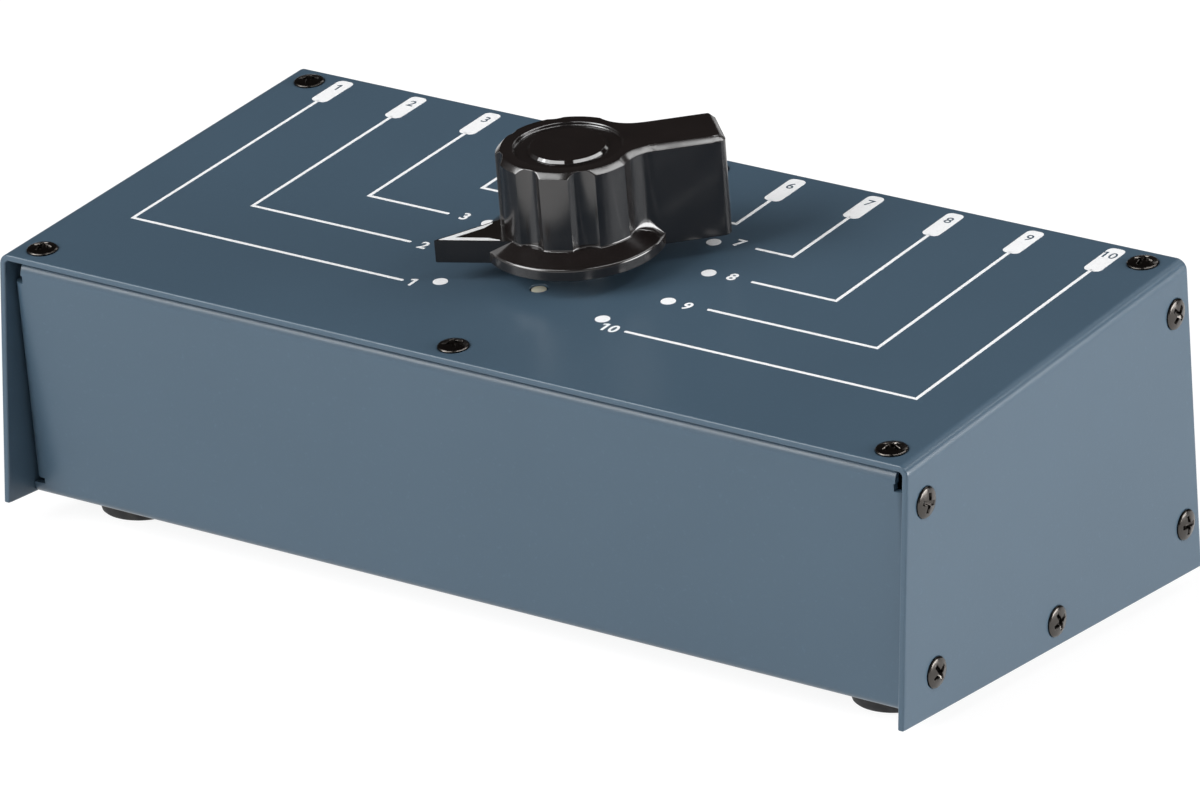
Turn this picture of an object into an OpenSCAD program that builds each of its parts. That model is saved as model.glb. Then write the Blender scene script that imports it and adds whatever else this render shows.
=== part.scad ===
// Ten-way stereo audio switch box: a folded steel desk case with a sloping top,
// one winged selector knob on a two-deck rotary switch, and a rear panel of jacks.
// Lengths are in millimetres. The case stands on its feet, its front faces -Y.

/* [Case] */
// Width over the sides of the cover
case_width = 240; // [236:1:300]
// Height of the cover's front top edge above its lower edge
front_height = 59; // [57:0.5:75]
// Depth of the top, measured along its slope
top_depth = 112; // [109:0.5:140]
// Slope of the top, in degrees
top_slope = 7.7; // [5:0.1:10]
// Thickness of the steel sheet
sheet = 1.5; // [1.2:0.1:1.7]
// Inside radius of the folds
fold_radius = 1; // [0.6:0.1:1.4]
// How far the front wall and the rear panel sit inside the cover's edges
wall_setback = 1.3; // [0.6:0.1:2]
// Width of the folded flanges inside the case
flange_width = 11; // [10:0.5:14]
// Air between the cover and the flanges
cover_gap = 0.25; // [0.1:0.05:0.4]
// Width of the relief notches at the upper corners of the walls
notch_width = 3; // [2.6:0.1:5]
// Height of the relief notches at the upper corners of the walls
notch_height = 2.9; // [2.4:0.1:3.4]
// Gap beside the ends of the top flanges
flange_end_gap = 1.1; // [0.6:0.1:2]

/* [Screws] */
// Diameter of the cover screws' thread
screw_diameter = 3.5; // [3:0.1:4]
// Diameter of the cover screws' raised countersunk heads
screw_head = 7; // [6.6:0.1:7.6]
// Length of the cover screws under the surface
screw_length = 7; // [6:0.5:9]
// Distance of the screws from the cover's front and rear edges
screw_inset = 5.8; // [5.4:0.1:6.5]
// Distance of the outer top screws from the sides
screw_side_inset = 7.7; // [7.5:0.1:12]
// Depth of the upper side screws below the top
side_screw_drop = 10.6; // [9.5:0.1:14]
// Height of the front lower side screws above the lower edge
front_screw_height = 9.6; // [9:0.1:14]
// Height of the rear lower side screws above the lower edge
rear_screw_height = 12; // [10:0.1:16]
// Height of the middle side screws above the lower edge
floor_screw_height = 6; // [5.6:0.1:8]
// Thread diameter of the screws under the floor
floor_screw_diameter = 3; // [2.5:0.1:3.5]
// Head diameter of the screws under the floor
floor_screw_head = 5.6; // [5:0.1:6.5]
// Spacing of the screws that hold the rear panel to the floor
floor_screw_pitch = 80; // [60:1:100]

/* [Feet] */
// Diameter of the rubber feet at the top
foot_diameter = 19; // [16:0.5:24]
// Height of the rubber feet
foot_height = 5; // [4.6:0.1:8]
// Distance of the feet's centres from the sides
foot_side_inset = 19; // [15:0.5:30]
// Distance of the feet's centres from the cover's front and rear lower corners
foot_end_inset = 25; // [23:0.5:32]
// Thickness of the washer in a foot
foot_washer = 0.6; // [0.4:0.1:1]

/* [Dial] */
// Distance of the knob's axis from the top's rear edge, along the slope
dial_rear_inset = 59.2; // [57:0.1:62]
// Number of places the switch clicks into
places = 10; // [6:1:10]
// Angle between two neighbouring places, in degrees
place_step = 30; // [30:1:30]

/* [Knob] */
// Radius of the fluted barrel
barrel_radius = 16; // [15:0.1:18]
// Height of the knob's flat top above the panel
knob_top = 28.3; // [26:0.1:32]
// Air between the panel and the knob's underside
knob_gap = 4.7; // [4.7:0.1:6]
// Radius of the skirt
skirt_radius = 20.2; // [19.5:0.1:22]
// Height of the skirt's rim
skirt_rim = 2.6; // [2:0.1:3.5]
// Height of the skirt where it meets the barrel, above the underside
skirt_rise = 5.3; // [4:0.1:6]
// Length of the wing from the axis
wing_length = 33.8; // [30:0.1:36]
// Width of the wing
wing_width = 14.8; // [13:0.1:17]
// Length of the pointer from the axis
pointer_length = 31.1; // [28:0.1:34]
// Width of the pointer at its root
pointer_width = 14.6; // [12:0.1:17]
// Depth of the flutes
flute_depth = 2; // [1:0.1:2.4]
// Radius of the flutes
flute_radius = 3.8; // [3:0.1:4.5]
// Depth of the two flutes beside the wing
wing_flute_depth = 1.3; // [0.8:0.1:2]
// Radius of the two flutes beside the wing
wing_flute_radius = 5.2; // [4:0.1:6]
// Rounding of the barrel's top edge
barrel_rounding = 2; // [1:0.1:2.4]
// Rounding of the wing's edges
wing_rounding = 1.8; // [0.6:0.1:2]
// Wall of the hollow moulding
knob_wall = 2.4; // [2:0.1:3]
// Radius of the round cap on top
cap_radius = 9; // [7:0.1:10]
// Radius of the sunk ring around the cap
ring_radius = 12; // [11:0.1:13]
// Depth of the sunk ring
ring_depth = 0.8; // [0.5:0.1:1.2]
// Radius of the brass insert
insert_radius = 5.4; // [5:0.1:6.5]
// Length of the brass insert
insert_length = 15; // [12:0.5:18]
// Diameter of the grub screw
grub_diameter = 3; // [2.5:0.1:4]
// Length of the grub screw
grub_length = 5; // [4:0.5:6]
// Height of the grub screw's axis above the knob's underside
grub_height = 9; // [8:0.5:11]

/* [Switch] */
// Diameter of the switch shaft
shaft_diameter = 6; // [5:0.1:6.4]
// Running clearance of the shaft in its bush, on the radius
shaft_clearance = 0.05; // [0.02:0.01:0.09]
// Outside diameter of the threaded bush
bush_diameter = 9.8; // [9:0.1:11]
// Height of the bush above the panel
bush_height = 3.6; // [3.2:0.1:3.8]
// Thickness of the bush nut
bush_nut = 2.2; // [1.8:0.1:2.4]
// Thickness of the lock washer under the nut
lock_washer = 0.6; // [0.4:0.1:0.8]
// Radius of the index housing and the wafers
housing_radius = 18.5; // [18:0.1:19.5]
// Height of the index housing
housing_height = 10; // [9:0.1:12]
// Radius of the hollow in the index housing
housing_hollow = 13.5; // [13.2:0.1:14]
// Distance of the locating pin from the axis
pin_distance = 14.8; // [13:0.1:16]
// Diameter of the locating pin
pin_diameter = 3.4; // [2.6:0.1:3.6]
// Diameter of the pin's hole in the cover
pin_hole = 4.2; // [4:0.1:5]
// Outer radius of the detent wheel
detent_radius = 10.5; // [9:0.1:10.8]
// Thickness of the detent wheel
detent_thickness = 4; // [3:0.1:4.2]
// Diameter of the detent balls
ball_diameter = 3.2; // [2.4:0.1:3.4]
// Thickness of the wafers
wafer_thickness = 1.6; // [1.2:0.1:2]
// Distance from one wafer to the next
wafer_pitch = 9; // [8:0.1:11]
// Radius of the rotors that turn in the wafers
rotor_radius = 10.5; // [9:0.1:11]
// Distance of the tie rods from the axis
tie_distance = 16; // [15.8:0.1:16.2]
// Diameter of the tie rods
tie_diameter = 2.4; // [2:0.1:2.6]
// Width of the switch board
switch_board_width = 124; // [120:1:140]
// Depth of the switch board
switch_board_depth = 46; // [44:1:50]

/* [Jacks] */
// Number of jack columns on the rear panel
jack_columns = 11; // [11:2:11]
// Distance of the outer jack columns from the sides
jack_side_inset = 16; // [13:0.1:24]
// Distance between the two jack rows
row_pitch = 26; // [20:0.1:28]
// Diameter of the jack sockets
socket_diameter = 6.4; // [6.3:0.05:6.6]
// Depth of the jack sockets
socket_depth = 30; // [27:0.5:31]
// Outside diameter of the jacks' threaded noses
nose_diameter = 11; // [10:0.1:12]
// How far the jacks' noses stand out of the rear panel
nose_length = 6; // [5:0.1:8]
// Width and height of the jack bodies
jack_body = 15; // [14:0.1:16.5]
// Depth of the jack bodies behind the panel
jack_body_depth = 24; // [23.5:0.1:27]
// Width of the jack nuts across their flats
jack_nut = 14; // [13:0.1:15.5]
// Thickness of the jack nuts
jack_nut_thickness = 2.4; // [2:0.1:3]
// Diameter of the jack washers
jack_washer = 15.6; // [14:0.1:17]
// Thickness of the jack washers
jack_washer_thickness = 0.5; // [0.4:0.1:0.8]

/* [Boards and ribbons] */
// Thickness of the circuit boards
board = 1.6; // [1:0.1:2]
// Side of the square pins and wires
pin_side = 0.8; // [0.5:0.1:1]
// Distance of the ribbon cables from the middle of the case
ribbon_offset = 45; // [42:0.5:46]
// Width of the ribbon cables
ribbon_width = 25.4; // [20:0.1:27]
// Thickness of the ribbon cables
ribbon_thickness = 0.9; // [0.6:0.1:1.2]
// Depth of the ribbon headers
header_depth = 9; // [8:0.1:10]
// Height of the ribbon headers
header_height = 9; // [8:0.1:10]
// How far a ribbon's plug stands out of its header
plug_reach = 4; // [3:0.1:5]

/* [Hidden] */
$fn = 48;

// Named clearances
seat_gap = 0.02;
hole_gap = 0.05;
loose_gap = 0.2;
sweep_gap = 0.3;
overcut = 0.5;

// Case outline, seen from the side: y runs back from the sides' front edge and z up from
// their lower edge
fold_outer = fold_radius + sheet;
rise = sin(top_slope);
run = cos(top_slope);
lower_depth = top_depth / run + front_height * tan(top_slope);
tray_width = case_width - 2 * (sheet + cover_gap);

// Places in the panel's own frame: v runs back along the slope, h stands up from the top
dial_inset = top_depth - dial_rear_inset;
front_face = wall_setback;
rear_face = top_depth - wall_setback;
flange_level = -(sheet + cover_gap);
notch_top = flange_level - fold_outer;
function panel_h(v, z) = (z - front_height - v * rise) / run;
function to_panel(y, z) = [
    y * run + (z - front_height) * rise,
    -y * rise + (z - front_height) * run
];
function to_case(v, h) = [v * run - h * rise, front_height + v * rise + h * run];
front_foot = [front_face, panel_h(front_face, 0)];
rear_foot = [rear_face, panel_h(rear_face, 0)];
floor_top = panel_h(rear_face, sheet);

// Screw places
top_screw_x = case_width / 2 - screw_side_inset;
top_screws = [
    for (v = [screw_inset, top_depth - screw_inset], x = [-top_screw_x, 0, top_screw_x]) [x, v]
];
front_low = [screw_inset, panel_h(screw_inset, front_screw_height)];
rear_low = [top_depth - screw_inset, panel_h(top_depth - screw_inset, rear_screw_height)];
floor_mid = to_panel(lower_depth / 2, floor_screw_height);
front_side_screws = [[screw_inset, -side_screw_drop], front_low];
rear_side_screws = [[top_depth - screw_inset, -side_screw_drop], rear_low];
side_screws = concat(front_side_screws, rear_side_screws, [floor_mid]);
thread_hole = screw_diameter / 2 + hole_gap;
collar_wall = 0.8;
collar_radius = thread_hole + collar_wall;
collar_drop = 1.2;
dome_height = 0.7;
head_lift = 0.4;
cross_width = 0.9;
cross_length = 3.8;
cross_depth = 1.3;
tab_length = 30;
tab_height = 12;
strip_height = 2.8;
strip_notch = 1.4;

// Rear panel fixing, through the floor
floor_thread = floor_screw_diameter / 2;
floor_head = floor_screw_head / 2;
floor_screw_length = 6;
rear_lip_y = to_case(rear_face, floor_top)[0];
floor_screw_y = rear_lip_y - flange_width / 2 - fold_outer / 2;
floor_screws = [for (i = [-1, 0, 1]) [i * floor_screw_pitch, floor_screw_y]];

// Feet
foot_x = case_width / 2 - foot_side_inset;
foot_front_y = foot_end_inset;
foot_rear_y = lower_depth - foot_end_inset;
foot_taper = 0.9;
foot_edge = 1;
foot_bore = floor_thread + loose_gap;
foot_pocket_room = 1.2;
foot_pocket = floor_head + foot_pocket_room;
foot_head_height = 1.8;
foot_pocket_spare = 0.3;
foot_pocket_depth = foot_washer + foot_head_height + foot_pocket_spare;
foot_nut_height = 2.4;
foot_nut_flats = 5.5;
foot_places = [
    for (x = [-foot_x, foot_x], y = [foot_front_y, foot_rear_y]) [x, y]
];

// Knob
wing_angle = 90 + (places - 1) * place_step / 2 - 180;
flute_angles = [90, 135, 180, 225, 270];
wing_flute_y = wing_width / 2 + wing_flute_radius;
wing_flute_axis = barrel_radius - wing_flute_depth + wing_flute_radius;
flute_axis = barrel_radius - flute_depth + flute_radius;
wing_flute_x = sqrt(wing_flute_axis * wing_flute_axis - wing_flute_y * wing_flute_y);
pointer_height = skirt_rise;
pointer_root = 12;
insert_top = knob_gap + insert_length;
shaft_radius = shaft_diameter / 2;
shaft_short = 1;
shaft_top = insert_top - shaft_short;
shaft_flat = 0.5;
boss_radius = insert_radius + knob_wall;
cap_bevel = 0.7;
grub_angle = 112.5;
grub_start = shaft_radius - shaft_flat + seat_gap;
grub_socket = 1.5;
flat_margin = 2;
hollow_top = knob_top - ring_depth - knob_wall;

// Switch, from the panel down
bush_radius = bush_diameter / 2;
bush_flange = 8;
bush_flange_height = 1.5;
bush_tail = 1.5;
bush_foot = bush_flange_height + bush_tail;
bush_nut_rim = 4;
lock_washer_rim = 2.6;
clip_thickness = 0.5;
clip_radius = 4.4;
housing_top = -sheet - seat_gap;
housing_floor = housing_top - bush_foot - seat_gap;
housing_end = housing_top - housing_height;
cover_plate = 1.5;
stack_start = housing_end - cover_plate;
wafer_top = [for (i = [1, 2]) stack_start - i * wafer_pitch + wafer_thickness];
board_top = stack_start - 3 * wafer_pitch + wafer_thickness;
board_end = board_top - board;
detent_top = housing_floor - sweep_gap;
detent_mid = detent_top - detent_thickness / 2;
notch_count = 12;
notch_size = 1.3;
ball_radius = ball_diameter / 2;
ball_axis = detent_radius + loose_gap + ball_radius;
spring_start = ball_axis + ball_radius + seat_gap;
pocket_wall = 1;
spring_end = housing_radius - pocket_wall;
pocket_room = 0.1;
pocket_radius = ball_radius + pocket_room;
spring_wall = 0.35;
stop_ring = 8;
stop_radius = 0.8;
stop_gap_angle = 2 * asin((stop_radius + hole_gap) / stop_ring);
stop_turn = (places - 1) * place_step;
lug_angle = 200;
lug_end = housing_end + sweep_gap;
wafer_hole = rotor_radius + sweep_gap;
contact_count = 12;
contact_width = 1.6;
contact_thickness = 0.4;
contact_inner = 12.6;
upper_wire_reach = 3;
lower_wire_reach = 1.2;
upper_wire = housing_radius + upper_wire_reach;
lower_wire = housing_radius + lower_wire_reach;
blade_edge = 0.5;
blade_width = 2.5;
finger_overlap = 0.8;
finger_root = 1;
shaft_tail = 2.5;
shaft_end = wafer_top[1] - wafer_thickness - shaft_tail;
tie_radius = tie_diameter / 2;
tie_head = 2.1;
tie_head_height = 1.2;
tie_pocket_spare = 0.1;
tie_pocket = tie_head_height + tie_pocket_spare;
tie_nut_height = 1.8;
tie_nut_flats = 4.6;
sleeve_wall = 0.8;
sleeve_radius = tie_radius + sleeve_wall;
rod_tail = 1;

// Jacks, boards and ribbons
jack_pitch = (case_width - 2 * jack_side_inset) / (jack_columns - 1);
rows_middle = (flange_level + rear_foot[1]) / 2;
inner_face = rear_face - sheet;
columns = [for (k = [-(jack_columns - 1) / 2 : (jack_columns - 1) / 2]) k * jack_pitch];
input_columns = [for (x = columns) if (abs(x) > jack_pitch / 2) x];
rows = [-row_pitch / 2, row_pitch / 2];
board_face = inner_face - jack_body_depth - seat_gap;
jack_pin_side = 3.5;
jack_pin_end = 1.2;
board_margin = 2;
jack_board_side = jack_pitch * (jack_columns - 1) / 2 + jack_body / 2 + board_margin;
jack_board_top = rows_middle + row_pitch / 2 + jack_body / 2 + board_margin / 2;
header_room = 4.6;
header_width = ribbon_width + header_room;
header_wall = 1.4;
header_floor = 2.5;
jack_board_front = board_face - board;
board_floor_gap = 0.6;
jack_board_bottom = panel_h(jack_board_front, sheet + foot_nut_height + board_floor_gap);
header_mid = jack_board_bottom + board_margin / 2 + header_height / 2;
switch_header_lead = 8;
switch_header_v = dial_inset - switch_header_lead;
ribbon_start = jack_board_front - header_depth - plug_reach;
switch_plug_end = board_end - header_depth - plug_reach;
ribbon_bend = switch_plug_end - header_mid;
jack_back = to_case(rear_face + nose_length, rows_middle - row_pitch / 2);
case_depth = max(lower_depth, jack_back[0] + nose_diameter / 2 * rise);

// Frames
module case_frame() {
    translate([0, -case_depth / 2, foot_height]) children();
}

module panel_frame() {
    case_frame() translate([0, 0, front_height]) rotate([top_slope, 0, 0]) children();
}

module dial_frame() {
    panel_frame() translate([0, dial_inset, 0]) children();
}

module knob_frame() {
    dial_frame() rotate([0, 0, wing_angle]) children();
}

// Looks out of the rear panel: z leaves the panel, y runs down
module rear_frame() {
    panel_frame() translate([0, rear_face, rows_middle]) rotate([-90, 0, 0]) children();
}

// Looks out of one side of the cover at a place of the side's own plane
module side_frame(side, place) {
    panel_frame()
        translate([side * case_width / 2, place[0], place[1]])
        rotate([0, 90 * side, 0])
        children();
}

// Folded sheet: the path follows the outer faces and keeps its inside on the left
function unit(v) = v / norm(v);
function left_of(d) = [-d[1], d[0]];
function turn(a) = (a + 540) % 360 - 180;
function heading(d) = atan2(d[1], d[0]);
function fold_arc(path, i, lift, radius) =
    let (
        before = unit(path[i] - path[i - 1]),
        after = unit(path[i + 1] - path[i]),
        half = (180 - turn(heading(after) - heading(before))) / 2,
        centre = path[i] + unit(after - before) * (radius + lift) / sin(half),
        from = heading(-left_of(before)),
        sweep = 180 - 2 * half
    )
    [for (k = [0:8]) centre + radius * [cos(from + sweep * k / 8), sin(from + sweep * k / 8)]];
function fold_side(path, lift, radius) =
    let (
        last = len(path) - 1,
        first_in = left_of(unit(path[1] - path[0])) * lift,
        last_in = left_of(unit(path[last] - path[last - 1])) * lift
    )
    concat(
        [path[0] + first_in],
        [for (i = [1 : last - 1]) each fold_arc(path, i, lift, radius)],
        [path[last] + last_in]
    );
function backwards(list) = [for (i = [len(list) - 1 : -1 : 0]) list[i]];

module folded_sheet(path) {
    outer = fold_side(path, 0, fold_outer);
    inner = fold_side(path, sheet, fold_radius);
    polygon(concat(outer, backwards(inner)));
}

// Carries a drawing of the (v, h) plane across the case
module across(width) {
    translate([-width / 2, 0, 0]) rotate([90, 0, 90]) linear_extrude(width) children();
}

module hex_prism(flats, height) {
    cylinder(h = height, d = flats / cos(30), $fn = 6);
}

module ring(outer, inner, height) {
    difference() {
        cylinder(h = height, r = outer);
        translate([0, 0, -overcut]) cylinder(h = height + 2 * overcut, r = inner);
    }
}

// Raised countersunk screw with a cross recess; z = 0 is the surface it sits in
module cover_screw() {
    head = screw_head / 2;
    shank = screw_diameter / 2;
    ball = (head * head + dome_height * dome_height) / (2 * dome_height);
    spread = asin(head / ball);
    dome = [
        for (k = [0:8])
            [ball * sin(spread * k / 8), head_lift + dome_height - ball * (1 - cos(spread * k / 8))]
    ];
    under = [[shank, head_lift - (head - shank)], [shank, -screw_length], [0, -screw_length]];
    difference() {
        rotate_extrude() polygon(concat(dome, under));
        for (a = [0, 90])
            rotate([0, 0, a])
                translate([-cross_length / 2, -cross_width / 2, head_lift + dome_height - cross_depth])
                cube([cross_length, cross_width, cross_depth + overcut]);
    }
}

// Countersunk hole for a cover screw, cut from the surface down
module countersink(head, lift) {
    seat = head + hole_gap - lift;
    translate([0, 0, -seat]) cylinder(h = seat + overcut, r1 = 0, r2 = seat + overcut);
    translate([0, 0, -sheet - overcut]) cylinder(h = sheet + overcut, r = thread_hole);
}

// Drawn and tapped collar behind a flange whose outer face is at z = 0
module collar() {
    translate([0, 0, -sheet - collar_drop]) cylinder(h = sheet + collar_drop, r = collar_radius);
}

module collar_hole() {
    translate([0, 0, -sheet - collar_drop - overcut])
        cylinder(h = sheet + collar_drop + 2 * overcut, r = thread_hole);
}

// Places children on the flange behind each listed side screw
module on_side_flanges(places) {
    for (side = [-1, 1], place = places)
        translate([side * tray_width / 2, place[0], place[1]]) rotate([0, 90 * side, 0]) children();
}

// Places children on the top flange behind each listed top screw
module on_top_flange(v) {
    for (place = top_screws)
        if (abs(place[1] - v) < sheet)
            translate([place[0], place[1], flange_level]) children();
}

// Cover: top and two sides folded from one sheet
module cover_outline() {
    polygon([
        [0, 0],
        [lower_depth, 0],
        to_case(top_depth, overcut),
        [0, front_height + overcut]
    ]);
}

module cover_section() {
    path = [
        [case_width / 2, -2 * front_height],
        [case_width / 2, 0],
        [-case_width / 2, 0],
        [-case_width / 2, -2 * front_height]
    ];
    folded_sheet(path);
}

module cover() {
    color("#46586a") difference() {
        intersection() {
            panel_frame()
                translate([0, top_depth, 0])
                rotate([90, 0, 0])
                linear_extrude(2 * top_depth) cover_section();
            case_frame() across(case_width + 2 * overcut) cover_outline();
        }
        panel_frame() for (place = top_screws)
            translate([place[0], place[1], 0]) countersink(screw_head / 2, head_lift);
        for (side = [-1, 1], place = side_screws)
            side_frame(side, place) countersink(screw_head / 2, head_lift);
        dial_frame() translate([0, 0, -sheet - overcut])
            cylinder(h = sheet + 2 * overcut, r = bush_radius + loose_gap);
        dial_frame() translate([0, -pin_distance, -sheet - overcut])
            cylinder(h = sheet + 2 * overcut, d = pin_hole);
    }
}

// Tray: front wall, floor and their flanges folded from one sheet
module tray_section() {
    floor_end = to_panel(to_case(rear_foot[0], rear_foot[1])[0], 0);
    path = [
        [front_face + flange_width, flange_level],
        [front_face, flange_level],
        front_foot,
        floor_end
    ];
    folded_sheet(path);
}

module wall_section(face, inward) {
    half = inward * tray_width / 2;
    path = [
        [-half, face + inward * flange_width],
        [-half, face],
        [half, face],
        [half, face + inward * flange_width]
    ];
    folded_sheet(path);
}

module floor_tabs() {
    half = tray_width / 2;
    path = [[-half, tab_height], [-half, 0], [half, 0], [half, tab_height]];
    case_frame()
        translate([0, (lower_depth + tab_length) / 2, 0])
        rotate([90, 0, 0])
        linear_extrude(tab_length) folded_sheet(path);
}

// The part of a folded section above its relief notches, short of the sides
module top_strip() {
    intersection() {
        panel_frame() across(tray_width - 2 * flange_end_gap) children();
        panel_frame() translate([-case_width / 2, 0, notch_top])
            cube([case_width, top_depth, fold_outer + overcut]);
    }
}

module base_tray() {
    wall_low = front_foot[1] + strip_height + strip_notch;
    wall_high = notch_top - notch_height;
    color("#46586a") difference() {
        union() {
            panel_frame() across(tray_width - 2 * notch_width) tray_section();
            top_strip() tray_section();
            intersection() {
                panel_frame() across(tray_width) tray_section();
                case_frame() translate([-case_width / 2, 0, -overcut])
                    cube([case_width, 2 * lower_depth, strip_height + overcut]);
            }
            panel_frame() translate([0, 0, wall_low])
                linear_extrude(wall_high - wall_low) wall_section(front_face, 1);
            floor_tabs();
            panel_frame() on_side_flanges(concat(front_side_screws, [floor_mid])) collar();
            panel_frame() on_top_flange(screw_inset) collar();
        }
        panel_frame() on_side_flanges(concat(front_side_screws, [floor_mid])) collar_hole();
        panel_frame() on_top_flange(screw_inset) collar_hole();
        case_frame() for (place = foot_places)
            translate([place[0], place[1], -overcut])
                cylinder(h = sheet + 2 * overcut, r = floor_thread + hole_gap);
        case_frame() for (place = floor_screws)
            translate([place[0], place[1], 0]) rotate([180, 0, 0]) floor_countersink();
    }
}

// Countersunk hole in the floor for a rear panel screw, cut from its surface inwards
module floor_countersink() {
    seat = floor_head + hole_gap;
    translate([0, 0, -seat]) cylinder(h = seat + overcut, r1 = 0, r2 = seat + overcut);
    translate([0, 0, -sheet - overcut])
        cylinder(h = sheet + overcut, r = floor_thread + hole_gap);
}

// Rear panel: a flanged plate that carries the jacks and stands on the floor
module rear_section() {
    lip = to_panel(rear_lip_y - flange_width, sheet + seat_gap);
    path = [
        lip,
        [rear_face, panel_h(rear_face, sheet + seat_gap)],
        [rear_face, flange_level],
        [rear_face - flange_width, flange_level]
    ];
    folded_sheet(path);
}

module rear_panel() {
    wall_low = floor_top + strip_height + strip_notch;
    wall_high = notch_top - notch_height;
    lip_top = 2 * sheet + seat_gap;
    color("#46586a") difference() {
        union() {
            panel_frame() across(tray_width - 2 * notch_width) rear_section();
            top_strip() rear_section();
            panel_frame() translate([0, 0, wall_low])
                linear_extrude(wall_high - wall_low) wall_section(rear_face, -1);
            panel_frame() on_side_flanges(rear_side_screws) collar();
            panel_frame() on_top_flange(top_depth - screw_inset) collar();
            case_frame() for (place = floor_screws)
                translate([place[0], place[1], lip_top - sheet])
                    cylinder(h = sheet + collar_drop, r = floor_thread + collar_wall);
        }
        panel_frame() on_side_flanges(rear_side_screws) collar_hole();
        panel_frame() on_top_flange(top_depth - screw_inset) collar_hole();
        case_frame() for (place = floor_screws)
            translate([place[0], place[1], lip_top - sheet - overcut])
                cylinder(h = sheet + collar_drop + 2 * overcut, r = floor_thread + hole_gap);
        rear_frame() for (x = columns, y = rows)
            translate([x, y, -sheet - overcut])
                cylinder(h = sheet + 2 * overcut, r = nose_diameter / 2 + hole_gap);
    }
}

// Screws
module cover_top_screws() {
    color("#35332f") panel_frame() for (place = top_screws)
        translate([place[0], place[1], 0]) cover_screw();
}

module side_screw_set(side) {
    color("#35332f") for (place = side_screws) side_frame(side, place) cover_screw();
}

module cover_side_screws_left() {
    side_screw_set(-1);
}

module cover_side_screws_right() {
    side_screw_set(1);
}

module rear_panel_screws() {
    color("#35332f") case_frame() for (place = floor_screws)
        translate([place[0], place[1], 0]) rotate([180, 0, 0]) difference() {
            union() {
                translate([0, 0, floor_thread - floor_head])
                    cylinder(h = floor_head - floor_thread, r1 = floor_thread, r2 = floor_head);
                translate([0, 0, -floor_screw_length])
                    cylinder(h = floor_screw_length, r = floor_thread);
            }
            for (a = [0, 90]) rotate([0, 0, a])
                translate([-cross_length / 2, -cross_width / 2, -cross_depth / 2])
                cube([cross_length, cross_width, cross_depth]);
        }
}

// Feet
module foot(x, y) {
    top = foot_diameter / 2;
    low = top - foot_taper;
    color("#26262a") case_frame() translate([x, y, -foot_height]) difference() {
        rotate_extrude() polygon(concat(
            [[0, 0]],
            [for (a = [0 : 15 : 90])
                [low - foot_edge + foot_edge * sin(a), foot_edge * (1 - cos(a))]],
            [[top, foot_height], [0, foot_height]]
        ));
        translate([0, 0, -overcut]) cylinder(h = foot_pocket_depth + overcut, r = foot_pocket);
        translate([0, 0, -overcut]) cylinder(h = foot_height + 2 * overcut, r = foot_bore);
    }
}

module foot_front_left() {
    foot(-foot_x, foot_front_y);
}

module foot_front_right() {
    foot(foot_x, foot_front_y);
}

module foot_rear_left() {
    foot(-foot_x, foot_rear_y);
}

module foot_rear_right() {
    foot(foot_x, foot_rear_y);
}

module on_feet() {
    case_frame() for (place = foot_places) translate([place[0], place[1], 0]) children();
}

module foot_screws() {
    head_top = foot_pocket_depth - foot_height - foot_washer;
    reach = sheet + foot_nut_height + rod_tail;
    color("#8d8f92") on_feet() difference() {
        union() {
            translate([0, 0, head_top - foot_head_height])
                cylinder(h = foot_head_height, r = floor_head);
            translate([0, 0, head_top]) cylinder(h = reach - head_top, r = floor_thread);
        }
        for (a = [0, 90]) rotate([0, 0, a])
            translate([-cross_length / 2, -cross_width / 2, head_top - foot_head_height - overcut])
            cube([cross_length, cross_width, cross_depth]);
    }
}

module foot_washers() {
    color("#b4b7ba") on_feet()
        translate([0, 0, foot_pocket_depth - foot_height - foot_washer])
        ring(foot_pocket - loose_gap, floor_thread + hole_gap, foot_washer);
}

module foot_nuts() {
    color("#b4b7ba") on_feet() translate([0, 0, sheet]) difference() {
        hex_prism(foot_nut_flats, foot_nut_height);
        translate([0, 0, -overcut])
            cylinder(h = foot_nut_height + 2 * overcut, r = floor_thread + seat_gap);
    }
}

// Jacks
module jack() {
    nose = nose_diameter / 2;
    color("#1c1c1e") difference() {
        union() {
            translate([-jack_body / 2, -jack_body / 2, -sheet - jack_body_depth])
                cube([jack_body, jack_body, jack_body_depth]);
            translate([0, 0, -2 * sheet]) cylinder(h = nose_length + 2 * sheet, r = nose);
        }
        translate([0, 0, nose_length - socket_depth])
            cylinder(h = socket_depth + overcut, d = socket_diameter);
    }
}

module jacks_at(xs, ys) {
    rear_frame() for (x = xs, y = ys) translate([x, y, 0]) children();
}

module input_jacks_upper() {
    jacks_at(input_columns, [rows[0]]) jack();
}

module input_jacks_lower() {
    jacks_at(input_columns, [rows[1]]) jack();
}

module output_jacks() {
    jacks_at([0], rows) jack();
}

module jack_nuts() {
    color("#c9cbcd") jacks_at(columns, rows)
        translate([0, 0, jack_washer_thickness]) difference() {
            hex_prism(jack_nut, jack_nut_thickness);
            translate([0, 0, -overcut])
                cylinder(h = jack_nut_thickness + 2 * overcut, r = nose_diameter / 2 + seat_gap);
        }
}

module jack_washers() {
    color("#c9cbcd") jacks_at(columns, rows)
        ring(jack_washer / 2, nose_diameter / 2 + hole_gap, jack_washer_thickness);
}

module jack_pins() {
    length = seat_gap + board + jack_pin_end;
    color("#c8b878") jacks_at(columns, rows) for (side = [-1, 1])
        translate([side * jack_pin_side, 0, -sheet - jack_body_depth - length / 2])
            cube([pin_side, pin_side, length], center = true);
}

// Boards
module jack_board() {
    hole = pin_side + 2 * hole_gap;
    color("#2f6b3f") difference() {
        panel_frame() translate([-jack_board_side, jack_board_front, jack_board_bottom])
            cube([2 * jack_board_side, board, jack_board_top - jack_board_bottom]);
        jacks_at(columns, rows) for (side = [-1, 1])
            translate([side * jack_pin_side, 0, -sheet - jack_body_depth - board / 2])
                cube([hole, hole, 4 * board], center = true);
    }
}

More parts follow.
